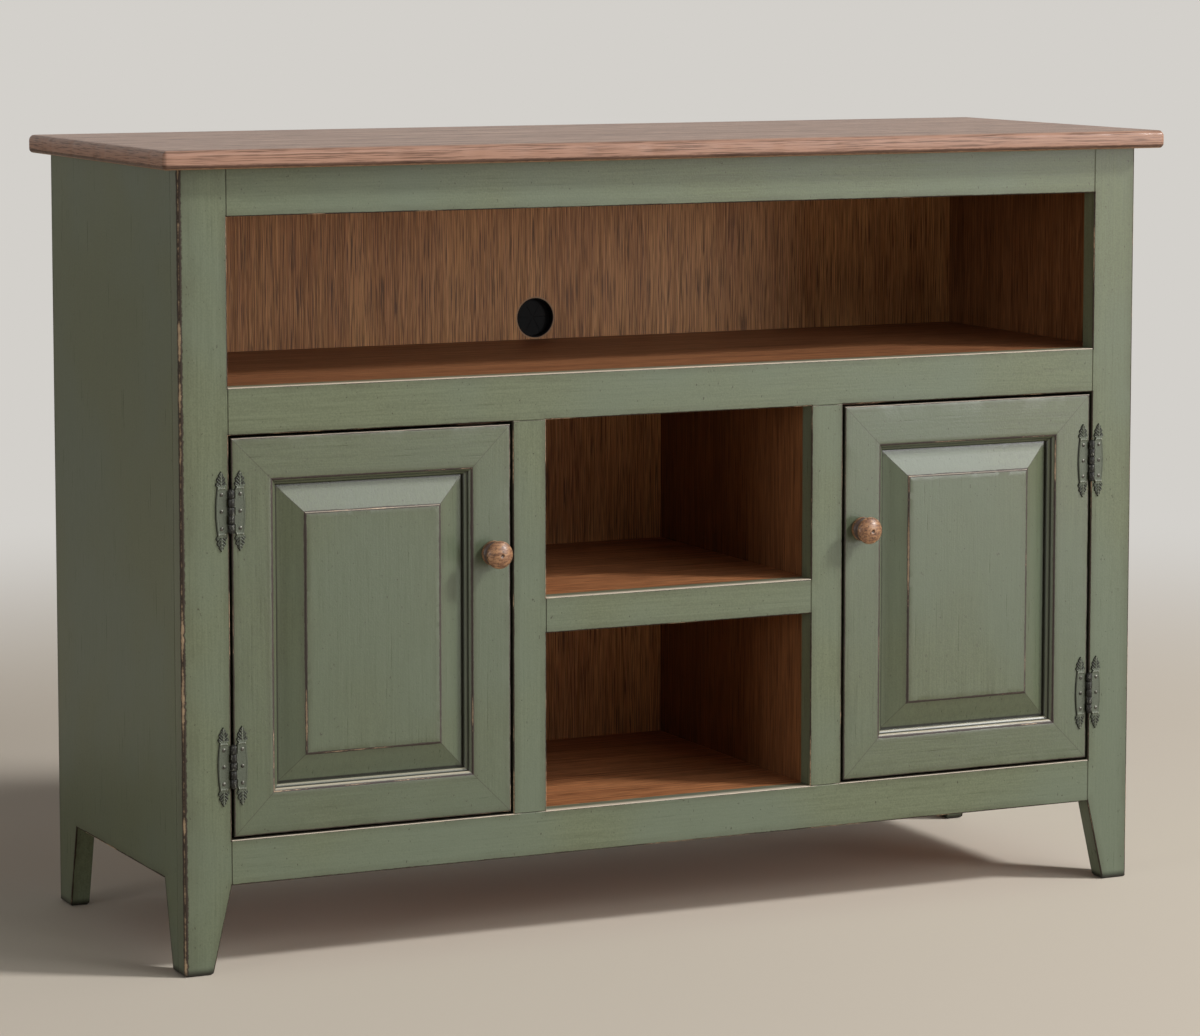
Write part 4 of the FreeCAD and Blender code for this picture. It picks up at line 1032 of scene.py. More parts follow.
@dataclass
class FaceFrame(Assembly):
    """The painted frame across the front: two stiles with legs, four rails and two mullions."""

    stile_inner: float = 497.0
    cubby_half: float = 153.3
    opening: Pair = (134.0, 538.0)
    corner_wear: Mapping[Hand, float] = field(default_factory=lambda: {Hand.LEFT: 0.35, Hand.RIGHT: 0.7})
    stile_rub: float = 0.95
    stile_line: float = 2.2
    rail_rub: float = 0.4

    def build(self) -> None:
        """Dress each board with paint whose brush marks follow it, and mark the joints at its ends."""
        rail = partial(SagePaint, grain=Grain.ACROSS, rub=self.rail_rub)
        paints = {name: rail(edges=FrameEdges(0, (self.stile_inner,)))
                  for name in ("top_rail", "middle_rail", "bottom_rail")}
        paints["center_rail"] = rail(edges=FrameEdges(0, (self.cubby_half,)))
        for hand in Hand:
            corner = FrameEdges(corner_wear=self.corner_wear[hand])
            paints[f"{hand.word}_front_stile"] = SagePaint(edges=corner, rub=self.stile_rub, line=self.stile_line)
            paints[f"{hand.word}_mullion"] = SagePaint(edges=FrameEdges(2, self.opening), rub=self.rail_rub)
        for name, paint in paints.items():
            dress(paint.material(f"sage_paint.{name}"), name)


@dataclass
class Case(Assembly):
    """The sides, shelves, partitions, back and rear rails behind the face frame."""

    side_wear: float = 1.0

    def build(self) -> None:
        """Dress the sides in paint and stain, the inner boards in stain and the rear rails in paint."""
        paint = SagePaint(edges=SideEdges(), wear=self.side_wear)
        sides = TwoTone(outside=paint, inside=SHADED_PARTITION_OAK)
        dress(sides.material("sage_paint.case_side"), "left_side_panel", "right_side_panel")
        dress(SHADED_PARTITION_OAK.material("stained_oak.partition"), "left_partition", "right_partition")
        dress(SHADED_SHELF_OAK.material("stained_oak.level"), "upper_shelf", "left_cupboard_shelf",
              "right_cupboard_shelf", "catch_blocks")
        dress(LIT_CUBBY_OAK.material("stained_oak.cubby"), "bottom_deck", "center_shelf")
        dress(CROSS_OAK.material("stained_oak.deep"), "top_cleats")
        dress(DrilledOak().material("stained_oak.drilled_back"), "back_panel")
        for name in ("rear_top_rail", "rear_bottom_rail"):
            low, high = node_box(name)
            edges = BoardEdges(tuple(low), tuple(high), Grain.ACROSS)
            dress(SagePaint(grain=Grain.ACROSS, edges=edges).material(f"sage_paint.{name}"), name)


@dataclass
class TopBoard(Assembly):
    """The overhanging top: a slab rounded over on all four sides, its arrises softened and nicked by use."""

    upper_round: float = 6.0
    lower_round: float = 4.5
    corner: float = 4.0
    least_corner: float = 0.3
    flat: float = 10.0
    middle: float = 60.0
    nick: float = 0.9
    nick_pitch: float = 61.0
    nick_start: float = 0.72
    nick_inset: float = 1.5
    nick_width: float = 2.0
    clear_middle: float = 3.0

    def profile(self, low: float, high: float) -> np.ndarray:
        """The edge from the upper face to the underside: two quarter circles between flats.

        Args:
            low: Height of the underside.
            high: Height of the upper face.
        Returns:
            Rows of inset from the outline and height.
        """
        turn = np.linspace(0, QUARTER, 9)
        r, s = self.upper_round, self.lower_round
        return np.concatenate([
            [[self.middle, high], [r + self.flat, high]],
            np.stack([r - r * np.sin(turn), high - r + r * np.cos(turn)], -1),
            np.stack([s - s * np.cos(turn), low + s - s * np.sin(turn)], -1),
            [[s + self.flat, low], [self.middle, low]]])

    def build(self) -> None:
        """Carry the edge round the outline, and press nicks into its arrises."""
        low, high = node_box("top_board")
        inset, height = self.profile(low[2], high[2]).T
        half = (high - low)[:2] / 2
        radius = np.maximum(self.corner - inset, self.least_corner)
        loops = rounded_loops(half - inset[:, None], radius, 9, 150)
        deep = wander(travelled(loops[0]), self.nick_pitch, 5) - self.nick_start
        dents = np.clip(deep, 0, None) / (1 - self.nick_start) * self.nick
        off_middle = np.abs(height - (low[2] + high[2]) / 2) > self.clear_middle
        soft = bell(inset - self.nick_inset, self.nick_width) * off_middle
        pressed = 1 - (soft[:, None] * dents)[..., None] / half
        points = np.empty((*loops.shape[:2], 3))
        points[..., :2] = (low + high)[:2] / 2 + loops * pressed
        points[..., 2] = height[:, None]
        new_piece("top_slab", [carried(points)], "case", RubbedTop().material("rubbed_oak_top"), "brown_top",
                  "top_board")


@dataclass
class Door(Assembly):
    """A mitred frame with a moulded inner edge round a raised panel."""

    hand: Hand
    member: float = 49.3
    arris: float = 1.1
    flat: float = 42.3
    steps: int = 2
    quirk: float = 0.8
    lip_depth: float = 9.6
    swell: float = 0.7
    groove_front: float = 10.6
    groove_back: float = 15.6
    groove_depth: float = 10.0
    thickness: float = 19.0
    panel_edge: float = 40.8
    tongue: float = 10.8
    bevel_start: float = 50.3
    field_edge: float = 77.6
    shoulder: float = 1.0
    rub: float = 0.3
    rub_width: float = 2.0
    member_pitch: float = 90.0
    panel_rub_width: float = 0.8
    panel_pitch: float = 110.0

    def corners(self) -> tuple[np.ndarray, np.ndarray]:
        """The lowest and the highest corner of the whole door."""
        boxes = [node_box(f"{self.hand.word}_door_{part}") for part in ("hinge_stile", "lock_stile")]
        return np.minimum(boxes[0][0], boxes[1][0]), np.maximum(boxes[0][1], boxes[1][1])

    def section(self) -> np.ndarray:
        """A member's outline: round arris, flat, steps of a quirk and an ovolo that bulges as a parabola, groove.

        Returns:
            Rows of distance from the door's outer edge and depth behind its face.
        """
        turn = np.linspace(0, QUARTER, 6)
        a, m, back = self.arris, self.member, self.thickness
        outer = np.stack([a - a * np.cos(turn), a - a * np.sin(turn)], -1)
        share = np.linspace(0, 1, 9)[:, None]
        step = np.array([m - self.flat, self.lip_depth]) / self.steps
        drop = np.array([0, self.quirk])
        across = step - drop
        normal = np.array([across[1], -across[0]]) / np.linalg.norm(across)
        ovolo = drop + across * share + normal * 4 * self.swell * share * (1 - share)
        moulding = [np.array([self.flat, 0]) + step * number + ovolo for number in range(self.steps)]
        flats = [[4.0, 0], [20.0, 0], [38.0, 0], [self.flat - 0.6, 0], [self.flat - 0.15, 0.12]]
        bottom = m - self.groove_depth
        rest = [[m, self.groove_front], [bottom, self.groove_front], [bottom, self.groove_back],
                [m, self.groove_back], [m, back - a], [m - a, back], [a, back], [0, back - a]]
        return np.concatenate([outer, flats, *moulding, rest])

    def member_points(self, part: str, low: np.ndarray, high: np.ndarray, seed: int) -> np.ndarray:
        """Carry the section along a member between mitres: each line of it starts and stops as far from the
        ends of the door as it is from the outer edge, and its outer arris is rubbed in by a random amount.

        Args:
            part: The member's name.
            low: The door's lowest corner.
            high: The door's highest corner.
            seed: Sets the rubbing.
        Returns:
            Loops of corners along the member.
        """
        inset, depth = self.section().T
        share = np.linspace(0, 1, 121)[:, None]
        run, across = (2, 0) if part.endswith("stile") else (0, 2)
        first = part in ("bottom_rail", "hinge_stile" if self.hand is Hand.LEFT else "lock_stile")
        edge, inward = (low[across], 1) if first else (high[across], -1)
        along = low[run] + inset + share * (high[run] - low[run] - 2 * inset)
        near = bell(np.hypot(inset, depth), self.rub_width)
        rubbed = self.rub * near * wander(along, self.member_pitch, seed) ** 2
        points = np.empty((*along.shape, 3))
        points[..., run] = along
        points[..., across] = edge + inward * (inset + rubbed)
        points[..., 1] = low[1] + depth + rubbed
        return points

    def panel_points(self, low: np.ndarray, high: np.ndarray) -> np.ndarray:
        """Carry the panel's rise round the door as rectangles: back, edge, tongue, bevel, shoulder and field.

        Args:
            low: The door's lowest corner.
            high: The door's highest corner.
        Returns:
            Rectangular loops of corners from the back to the field.
        """
        edge, s, start = self.field_edge, self.shoulder, self.bevel_start
        slope = (self.tongue - s) / (edge - start)
        rise = np.array([
            [edge + 30, self.groove_back], [self.panel_edge, self.groove_back], [self.panel_edge, self.tongue],
            [start, self.tongue], [start + 9, self.tongue - 9 * slope], [edge - 0.8, s + 0.8 * slope],
            [edge - 0.3, s + 0.3 * slope], [edge, s * 0.8], [edge + 0.1, s * 0.3], [edge + 0.35, 0.1],
            [edge + 1.0, 0], [edge + 6.0, 0]])
        inset, depth = rise.T
        half = (high - low)[::2] / 2 - inset[:, None]
        loops = rounded_loops(half, np.zeros(len(inset)), 1, 90)
        near = bell(inset - edge, self.panel_rub_width) * (depth < s)
        worn = wander(travelled(loops[-1]), self.panel_pitch, 40 + self.hand.value) ** 2
        points = np.empty((*loops.shape[:2], 3))
        points[..., ::2] = (low + high)[::2] / 2 + loops
        points[..., 1] = low[1] + depth[:, None] + self.rub * near[:, None] * worn
        return points

    def build(self) -> None:
        """Make the four members and the panel, and dress what is let into the door."""
        low, high = self.corners()
        word, body = self.hand.word, f"{self.hand.word}_door"
        edges = DoorEdges(low[0], high[0], low[2], high[2], low[1])
        upright, level = (DOOR_PAINT(grain=grain, edges=edges).material(f"sage_paint.{body}_{grain.name.lower()}")
                          for grain in (Grain.UPRIGHT, Grain.ACROSS))
        for seed, part in enumerate(("hinge_stile", "lock_stile", "bottom_rail", "top_rail")):
            points = self.member_points(part, low, high, seed + 10 * self.hand.value + 20)
            new_piece(f"{word}_moulded_{part}", [carried(points)], body,
                      upright if part.endswith("stile") else level, "sage_paint", f"{body}_{part}")
        new_piece(f"{word}_raised_panel", [carried(self.panel_points(low, high))], body, upright, "sage_paint",
                  f"{body}_panel", crease=20.0)
        dress(RAW_BEECH.material(f"raw_beech.{word}"), f"{body}_splines")
        dress(ZINC_STEEL.material(f"zinc_steel.{word}_strike"), f"{word}_strike_plate")


@dataclass
class TurnedKnob(Assembly):
    """A turned knob: rounded base, narrow neck and domed head with a centre mark.

    The marks are distances from the door and radii, from the door out to the bottom of the centre mark.
    """

    hand: Hand
    columns: int = 72
    marks: Profile = (
        (0, 11.7), (0.6, 12.3), (2.8, 12.8), (5.0, 12.4), (6.4, 11.3), (8.0, 9.2), (10.2, 8.4), (12.4, 9.4),
        (14.0, 11.6), (15.6, 13.3), (18.1, 14.3), (20.2, 13.3), (22.0, 11.3), (24.2, 8.2), (25.5, 4.8),
        (25.9, 2.9), (25.7, 1.9), (25.1, 1.1), (24.8, 0.3))

    def build(self) -> None:
        """Turn a smooth curve through the marks about the axis of the knob."""
        word = self.hand.word
        low, high = node_box(f"{word}_knob")
        x, _, z = (low + high) / 2
        wood = TurnedOak(centre=(abs(x), high[1], z)).material(f"turned_oak.{word}_knob")
        shell = carried(lathed(spline(self.marks, 5), (x, high[1], z), FORWARD, self.columns))
        new_piece(f"{word}_turned_knob", [shell], f"{word}_door", wood, "turned_wood", f"{word}_knob", crease=60.0)


@dataclass
class Screw:
    """A round-headed screw with a driver recess."""

    diameter: float
    length: float
    head: float
    head_height: float
    recess: Recess = Recess.SLOT
    columns: int = 32
    fall: float = 0.7
    slot_width: float = 0.1
    cross_reach: float = 0.34
    slot_depth: float = 0.45
    rim_left: float = 0.25

    def shell(self, base: Sequence[float], along: Sequence[float]) -> Shell:
        """Turn head and shank about the axis, and press the recess into the top of the head.

        The head is a flattened dome: its height falls with the square of the radius. The recess is as wide and as
        long as shares of the head, and as deep as a share of its height; what is lower than the rim is left alone.

        Args:
            base: The middle of the underside of the head.
            along: The direction of the shank, of length one.
        Returns:
            The whole screw.
        """
        radius = self.head / 2 * np.linspace(0.06, 1, 9)
        dome = -self.head_height * (1 - self.fall * (radius / radius[-1]) ** 2)
        shank = self.diameter / 2
        rows = [*zip(dome, radius), (0, self.head / 2), (0, shank), (self.length - shank, shank),
                (self.length, shank * 0.2)]
        points = lathed(np.array(rows), base, along, self.columns)
        axis, first, second = crosswise(along)
        offset = points - np.asarray(base)
        width, reach = self.slot_width * self.head, self.cross_reach * self.head
        cut = np.abs(offset @ first) < width
        if self.recess is Recess.CROSS:
            short = np.hypot(offset @ first, offset @ second) < reach
            cut = (cut | (np.abs(offset @ second) < width)) & short
        cut &= (offset @ axis) < -self.rim_left * self.head_height
        points += (cut * self.slot_depth * self.head_height)[..., None] * axis
        return carried(points)


LEAF_SCREW = Screw(2.2, 11.0, 3.8, 1.0)
KNOB_SCREW = Screw(4.0, 31.0, 9.0, 2.4, Recess.CROSS)
BACK_SCREW = Screw(3.5, 16.0, 7.0, 2.0, Recess.CROSS)


@dataclass
class SurfaceHinge(Assembly):
    """The hinges of one door: stamped leaves with spade tips, knuckles in turn on both leaves, and pins.

    The tip's marks are heights from the middle of the hinge and half widths of the spade.
    """

    hand: Hand
    half_height: float = 40.0
    thickness: float = 1.6
    inner: float = 3.7
    middle: float = 9.8
    reach: float = 15.9
    shoulder: float = 20.4
    barrel: float = 42.0
    knuckles: int = 5
    radius: float = 3.2
    bore: float = 1.6
    gap: float = 0.4
    rim: float = 1.1
    rim_inside: float = 0.9
    bead: float = 1.4
    collar: float = 22.8
    vein_pitch: float = 3.4
    vein_height: float = 0.9
    tip_sink: float = 0.45
    bead_height: float = 0.25
    collar_height: float = 0.4
    screw_steps: tuple[float, ...] = (-17.0, 0.0, 17.0)
    heights: Mapping[str, float] = field(default_factory=lambda: {"lower": 208.6, "upper": 463.4})
    tip: Profile = (
        (24.0, 4.2), (24.9, 4.9), (26.4, 5.9), (28.0, 5.6), (29.4, 4.3), (30.6, 4.3), (31.8, 4.9), (33.2, 4.4),
        (34.6, 2.9), (35.6, 2.5), (36.6, 2.6), (37.8, 1.7), (40.0, 0.12))

    def axis(self) -> np.ndarray:
        """The door's hinge axis, from the joint of the frame."""
        name = f"{self.hand.word}_door_hinge"
        return next(np.array(joint["pos_m"]) / MM for joint in frame["joints"] if joint["name"] == name)

    def spans(self, first: int) -> np.ndarray:
        """The lower and upper ends of every second knuckle, measured from the middle of the hinge."""
        pitch = self.barrel / self.knuckles
        low = -self.barrel / 2 + np.arange(first, self.knuckles, 2) * pitch
        return np.stack([low + self.gap / 2, low + pitch - self.gap / 2], -1)

    def leaf(self, first: int) -> np.ndarray:
        """A leaf as a function of the height and of the place across it.

        At each height the plate runs from its inner edge to its outer edge, which bow and close in a spade tip.
        Its front is a quarter round at the rims, with a bead inside them, a collar under each lobed tip, and a rib
        and slanting veins raised from the sunk face of the tip. Tabs reach to the pin where this leaf has its
        knuckles.

        Args:
            first: The lowest knuckle of this leaf.
        Returns:
            Loops round the plate at each height, as distance from the pin, height above the face and height.
        """
        up = self.half_height * np.sin(np.linspace(-1, 1, 221) * QUARTER * 0.985)
        level = np.abs(up)
        start, narrow = self.tip[0]
        spade = np.interp(level, *spline(self.tip, 8).T)
        plate = np.interp(level, [0, self.shoulder, start], [self.inner, self.inner, self.middle - narrow])
        inner = np.where(level < start, plate, self.middle - spade)
        bowed = self.reach - (self.reach - self.middle - narrow) * (level / start) ** 2
        outer = np.where(level < start, bowed, self.middle + spade)
        low, high = self.spans(first).T
        tabbed = ((up[:, None] > low) & (up[:, None] < high)).any(1)
        inner = np.where(tabbed, self.gap, inner)[:, None]
        across = inner + (outer[:, None] - inner) * np.linspace(0, 1, 33)
        rim = np.minimum(across - inner, outer[:, None] - across)
        fall = np.clip(rim / self.rim, 0.02, 1)
        off, level = np.abs(across - self.middle), level[:, None]
        inside = np.clip(rim / self.rim_inside, 0, 1)
        on_tip = np.clip((level - start - 1.0) / 1.5, 0, 1) * inside
        veins = np.clip(np.cos(2 * math.pi * (level - 0.9 * off) / self.vein_pitch), 0, 1) ** 2
        raised = np.maximum(veins, bell(off, 0.7))
        bead = bell(rim - self.bead, 0.45) * (1 - on_tip)
        collar = bell(level - self.collar, 0.8) * inside
        front = self.thickness * np.sqrt(fall * (2 - fall))
        front = front + on_tip * (self.vein_height * raised - self.tip_sink)
        front = front + self.bead_height * bead + self.collar_height * collar
        distance = np.concatenate([across, across[:, [-1, 0]]], 1)
        relief = np.concatenate([front, np.zeros((len(up), 2))], 1)
        return np.stack([distance, relief, np.broadcast_to(up[:, None], distance.shape)], -1)

    def knuckle(self, low: float, high: float) -> np.ndarray:
        """A knuckle's profile: a tube with rounded ends, closed from its outside to its bore."""
        r, b, s = self.radius, self.bore, 0.5
        return np.array([[low, b + 0.2], [low, r - s], [low + 0.15, r - 0.15], [low + s, r], [high - s, r],
                         [high - 0.15, r - 0.15], [high, r - s], [high, b + 0.2], [high - 0.2, b], [low + 0.2, b]])

    def leaf_shells(self, toward: int, height: float, first: int) -> list[Shell]:
        """A leaf with its knuckles.

        Args:
            toward: The sign of X from the pin to the leaf.
            height: The middle of the hinge.
            first: The lowest knuckle of this leaf.
        Returns:
            The plate and its knuckles.
        """
        x, y, _ = self.axis()
        plate = np.array([x, FACE, height]) + self.leaf(first) * (toward, -1, 1)
        rolls = [lathed(self.knuckle(*span), (x, y, height), UP, 28) for span in self.spans(first)]
        return [carried(plate), *(carried(roll, closed=True) for roll in rolls)]

    def screws(self, toward: int) -> list[Shell]:
        """The screws of the leaves on one side of the pins, their heads on the front of the leaves."""
        x = self.axis()[0] + toward * self.middle
        return [LEAF_SCREW.shell((x, FACE - self.thickness, height + step), BACKWARD)
                for height in self.heights.values() for step in self.screw_steps]

    def build(self) -> None:
        """Make the leaves of both hinges of this door, one of each pair on the case and one on the door."""
        word, sign = self.hand.word, self.hand.value
        iron = AntiquedHinge(axis=abs(self.axis()[0])).material(f"antiqued_iron.{word}_hinges")
        steel = DARK_STEEL.material(f"dark_steel.{word}_hinge_screws")
        for level, height in self.heights.items():
            for side, toward, first, body in (("frame", sign, 0, "case"), ("door", -sign, 1, f"{word}_door")):
                new_piece(f"{word}_{level}_{side}_hinge_leaf", self.leaf_shells(toward, height, first), body, iron,
                          "hinge_metal", f"{word}_{level}_{side}_leaf")
        new_piece(f"{word}_hinge_screws", self.screws(-sign), f"{word}_door", steel, "steel",
                  f"{word}_door_leaf_screws")


@dataclass
class Fittings(Assembly):
    """Pins, screws and magnets that belong to the case.

    Profiles are distances along the axis and radii: of the cap of a hinge pin, from the end of the barrel, and of
    a shelf pin, from the wall. A wall is its X and the sign of X into it.
    """

    pin_half: float = 20.8
    pin_radius: float = 1.5
    pin_cap: Profile = ((0, 2.7), (0.7, 2.619), (1.3, 1.89), (1.6, 0.54))
    shelf_pin: Profile = (
        (-8.4, 2.2), (-8.0, 2.5), (0, 2.5), (0, 4.0), (0.8, 4.0), (0.8, 2.5), (8.4, 2.5), (8.8, 2.1))
    pin_drop: float = 1.9
    pin_walls: tuple[tuple[float, int], ...] = ((-527.0, -1), (-172.8, 1), (172.8, -1), (527.0, 1))
    pin_depths: tuple[float, ...] = (-89.5, 130.0)
    columns: int = 28
    back: float = 182.0
    shelf_height: float = 576.0
    shelf_reach: float = 467.0
    partition: float = 163.8
    partition_span: Pair = (194.0, 478.0)

    def hinge_pin(self, base: Sequence[float]) -> Shell:
        """A hinge pin with a rounded cap on each end, turned about its axis."""
        cap = [(self.pin_half, self.pin_radius), *((self.pin_half + out, radius) for out, radius in self.pin_cap)]
        profile = [(-height, radius) for height, radius in reversed(cap)] + cap
        return carried(lathed(np.array(profile), base, UP, self.columns))

    def shelf_pins(self) -> list[Shell]:
        """Shelf pins turned about X with a collar, and flattened where the shelf rests on them."""
        shelf = node_box("left_cupboard_shelf")[0][2]
        shells = []
        for face, into in self.pin_walls:
            for y in self.pin_depths:
                points = lathed(np.array(self.shelf_pin), (face, y, shelf - self.pin_drop), (-into, 0, 0),
                                self.columns)
                shown = points[..., 0] * into <= face * into
                points[..., 2] = np.where(shown, np.minimum(points[..., 2], shelf), points[..., 2])
                shells.append(carried(points))
        return shells

    def back_screws(self) -> list[Shell]:
        """The screws that hold the back panel to the upper shelf and to the partitions."""
        places = [(x, self.shelf_height) for x in np.linspace(-self.shelf_reach, self.shelf_reach, 6)]
        places += [(hand.value * self.partition, z) for hand in Hand for z in np.linspace(*self.partition_span, 3)]
        return [BACK_SCREW.shell((x, self.back, z), FORWARD) for x, z in places]

    def build(self) -> None:
        """Make the pins and screws and dress the magnets."""
        steel = ZINC_STEEL.material("zinc_steel.case_fittings")
        iron = AntiquedHinge(barrel=9.0).material("antiqued_iron.pins")
        dark = DARK_STEEL.material("dark_steel.frame_screws")
        hinges = [SurfaceHinge(hand) for hand in Hand]
        pins = [self.hinge_pin((*hinge.axis()[:2], height))
                for hinge in hinges for height in hinge.heights.values()]
        heads = [screw for hinge in hinges for screw in hinge.screws(hinge.hand.value)]
        new_piece("round_hinge_pins", pins, "case", iron, "hinge_metal", "hinge_pins")
        new_piece("frame_hinge_screws", heads, "case", dark, "steel", "frame_leaf_screws")
        new_piece("round_shelf_pins", self.shelf_pins(), "case", steel, "steel", "shelf_pins")
        for hand in Hand:
            low, high = node_box(f"{hand.word}_knob_screw")
            x, _, z = (low + high) / 2
            screw = KNOB_SCREW.shell((x, high[1] - KNOB_SCREW.head_height, z), FORWARD)
            new_piece(f"{hand.word}_knob_bolt", [screw], f"{hand.word}_door", steel, "steel",
                      f"{hand.word}_knob_screw")
        new_piece("back_board_screws", self.back_screws(), "case", steel, "steel", "back_panel_screws")
        dress(steel, "cleat_screws")
        dress(FERRITE.material("ferrite"), "catch_magnets")


@dataclass
class CableOutlet(Assembly):
    """The rubber-lined hole in the back, closed by a slit rubber disc."""

    outer: float = 21.9
    wall: float = 1.5
    flange: float = 27.0
    flange_height: float = 1.5
    disc: float = 25.0
    disc_height: float = 1.2
    dish: float = 0.5
    slits: int = 6
    slit_reach: float = 17.5
    slit_width: float = 0.35
    slit_depth: float = 0.25

    def liner(self, depth: float) -> np.ndarray:
        """The liner's profile: a tube with a rounded front and a flange behind, as distances and radii."""
        r, bore, flange, start = self.outer, self.outer - self.wall, self.flange, depth - self.flange_height
        return np.array([
            (0.5, bore), (0.1, bore + 0.3), (0, bore + 0.75), (0.1, r - 0.3), (0.5, r), (start, r),
            (start, flange - 0.5), (start + 0.4, flange), (depth - 0.4, flange), (depth, flange - 0.5),
            (depth, bore)])

    def build(self) -> None:
        """Turn the liner about the axis of the hole, and press slits and a hollow into the disc behind it."""
        low, high = node_box("cable_grommet")
        base = np.array([(low[0] + high[0]) / 2, low[1], (low[2] + high[2]) / 2])
        rubber = BLACK_RUBBER.material("black_rubber")
        depth = high[1] - low[1]
        ring = carried(lathed(self.liner(depth), base, BACKWARD, 96), closed=True)
        new_piece("outlet_liner", [ring], "case", rubber, "black_rubber", "cable_grommet")
        radius = np.array([0.4, 2, 4, 6, 9, 12, 15, 17, 18, 20, 23, self.disc])
        front = np.stack([depth + self.dish * np.cos(radius / self.disc * QUARTER), radius], -1)
        back = (front + (self.disc_height, 0))[::-1]
        points = lathed(np.concatenate([front, back]), base, BACKWARD, 192)
        x, _, z = np.moveaxis(points - base, -1, 0)
        sector = 2 * math.pi / self.slits
        turns, far = np.arctan2(z, x) / sector, np.hypot(x, z)
        beside = np.abs(turns - np.round(turns)) * sector * far
        slit = bell(beside, self.slit_width) * (far < self.slit_reach) * self.slit_depth
        points[..., 1] += np.where(np.arange(len(points))[:, None] < len(radius), slit, -slit)
        new_piece("outlet_flaps", [carried(points)], "case", rubber, "black_rubber", "grommet_membrane")


@dataclass(frozen=True)
class Lamp:
    """A lamp that faces the console from a direction, with its width and its height."""

    name: str
    direction: Triple
    size: Pair
    level: float
    distance: float = 9.0
    aim: Triple = (0.0, 0.0, 0.4)

    def hang(self) -> None:
        """Hang the lamp, hidden from the camera. A white card that faces it shows its level, which is its watts
        over the square of pi times the distance."""
        toward = np.array(self.direction) / np.linalg.norm(self.direction)
        data = bpy.data.lights.new(self.name, "AREA")
        data.shape = "RECTANGLE"
        data.size, data.size_y = self.size
        data.energy = self.level * (math.pi * self.distance) ** 2
        lamp = bpy.data.objects.new(self.name, data)
        lamp.location = np.array(self.aim) + toward * self.distance
        lamp.rotation_euler = (math.acos(toward[2]), 0, math.atan2(toward[0], -toward[1]))
        lamp.visible_camera = False
        bpy.context.scene.collection.objects.link(lamp)


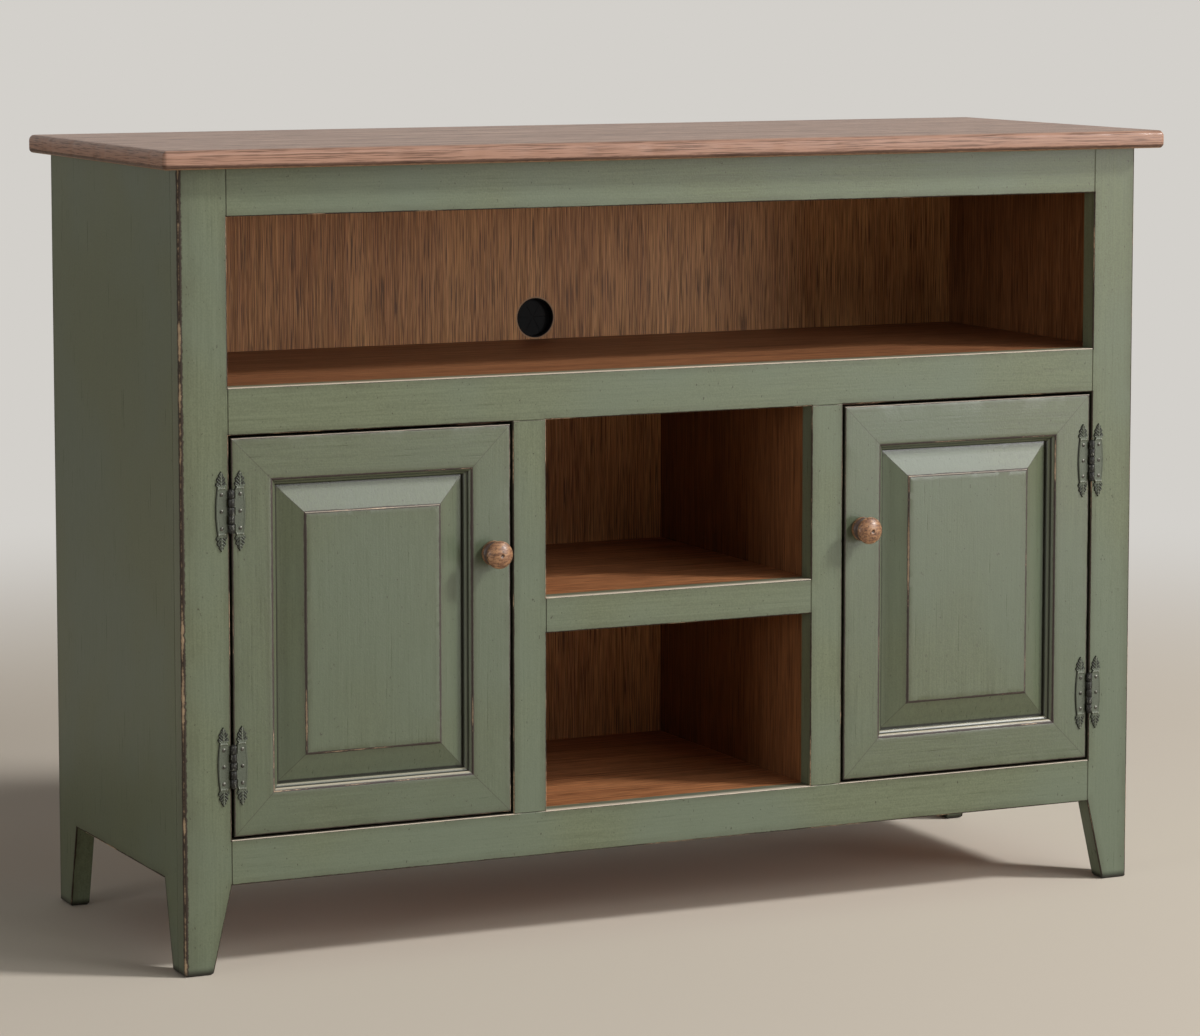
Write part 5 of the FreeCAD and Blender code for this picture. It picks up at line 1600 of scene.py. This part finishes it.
@dataclass
class Studio(Assembly):
    """A pale floor, a key light from the front right, low cards, a window, a fill and the camera.

    Places of the camera, rings of the floor and the range where it fades are metres.
    """

    camera_place: Triple = (-1.9598, -4.1083, 1.0090)
    yaw: float = 25.451
    pitch: float = 6.068
    lens: float = 128.21
    sensor: float = 36.0
    shift: float = -110 / 1200
    pale: str = "#D3D0CB"
    floor_colour: str = "#D6CBBC"
    floor_drop: float = 0.3
    floor_grit: Marks = Marks((900, 900, 900), 3)
    rings: tuple[float, ...] = (0.05, 1, 2, 3, 5, 9, 16, 30)
    fade: Fade = Fade(1.2, 3.2)
    fill: float = 0.13
    fill_colour: tuple[float, ...] = (1.0, 0.98, 0.95, 1.0)
    lamps: tuple[Lamp, ...] = (
        Lamp("key", (0.66, -0.46, 0.6), (1.2, 1.2), 0.79),
        Lamp("card", (0.58, -0.81, 0.13), (3.0, 3.0), 0.22),
        Lamp("side_card", (-0.93, -0.35, 0.12), (2.4, 2.4), 0.13),
        Lamp("window", (0.44, -0.765, 0.469), (6.8, 2.6), 0.23))

    def build(self) -> None:
        """Make the camera, the lamps, the world and the floor."""
        bpy.context.scene.view_settings.view_transform = "Standard"
        self.camera()
        for lamp in self.lamps:
            lamp.hang()
        self.world()
        self.floor()

    def camera(self) -> None:
        """Stand the camera where the photograph was taken, turned to the right and a little down."""
        data = bpy.data.cameras.new("camera")
        data.lens, data.sensor_width, data.shift_y = self.lens, self.sensor, self.shift
        camera = bpy.data.objects.new("camera", data)
        camera.location = self.camera_place
        camera.rotation_euler = (math.radians(90 - self.pitch), 0, math.radians(-self.yaw))
        bpy.context.scene.collection.objects.link(camera)
        bpy.context.scene.camera = camera

    def world(self) -> None:
        """A pale background, for rays from the camera, in gloss and through glass, that gives only a dim fill."""
        world = bpy.data.worlds.new("studio")
        bpy.context.scene.world = world
        t = Tree(world)
        path = t.add("LightPath").node.outputs
        seen = t.add("Math.MAXIMUM", (path["Is Camera Ray"], path["Is Glossy Ray"]))
        seen = t.add("Math.MAXIMUM", (seen, path["Is Transmission Ray"]))
        dim = t.add("Background", (self.fill_colour, self.fill))
        shown = t.add("Background", (linear(self.pale), 1.0))
        t.add("OutputWorld", (t.add("MixShader", (seen, dim, shown)),))

    def floor_material(self) -> bpy.types.Material:
        """Matt pale paint that keeps the shadow near the console and fades into the background."""
        made = bpy.data.materials.new("pale_floor")
        t = Tree(made)
        rough = t.add("MapRange", (self.floor_grit.at(t, t.point()), 0.3, 0.7, 0.7, 0.85))
        plain = t.add("BsdfPrincipled", {"Base Color": linear(self.floor_colour), "Roughness": rough,
                                         "Specular IOR Level": 0.2})
        shown = t.add("Emission", (linear(self.pale), 1.0))
        far = t.add("VectorMath.LENGTH", (t.add("TexCoord", output="Object"),), 1)
        share = t.add("Math.MULTIPLY", (self.fade.of(t, far), t.add("LightPath", output="Is Camera Ray")))
        t.add("OutputMaterial", (t.add("MixShader", (share, plain, shown)),))
        return made

    def floor(self) -> None:
        """Lay a round floor, rings of corners joined by faces."""
        radius = np.array(self.rings) / MM
        profile = np.stack([np.full(len(radius), -self.floor_drop), radius], -1)
        disc = woven(lathed(profile, (0, 0, 0), UP, 96))
        disc.caps = disc.caps[:1]
        mesh = bpy.data.meshes.new("floor")
        mesh.from_pydata(disc.corners * MM, [], disc.faces())
        mesh.materials.append(self.floor_material())
        floor = bpy.data.objects.new("floor", mesh)
        bpy.context.scene.collection.objects.link(floor)


def main() -> None:
    """Build and dress every sub-assembly in order."""
    logging.basicConfig(level=logging.INFO, format="%(name)s: %(message)s")
    assemblies = [FaceFrame(), Case(), TopBoard()]
    for hand in Hand:
        assemblies += [Door(hand), TurnedKnob(hand), SurfaceHinge(hand)]
    assemblies += [Fittings(), CableOutlet(), Studio()]
    for assembly in assemblies:
        LOG.info("%s", type(assembly).__name__)
        assembly.build()


if __name__ == "__main__":
    main()
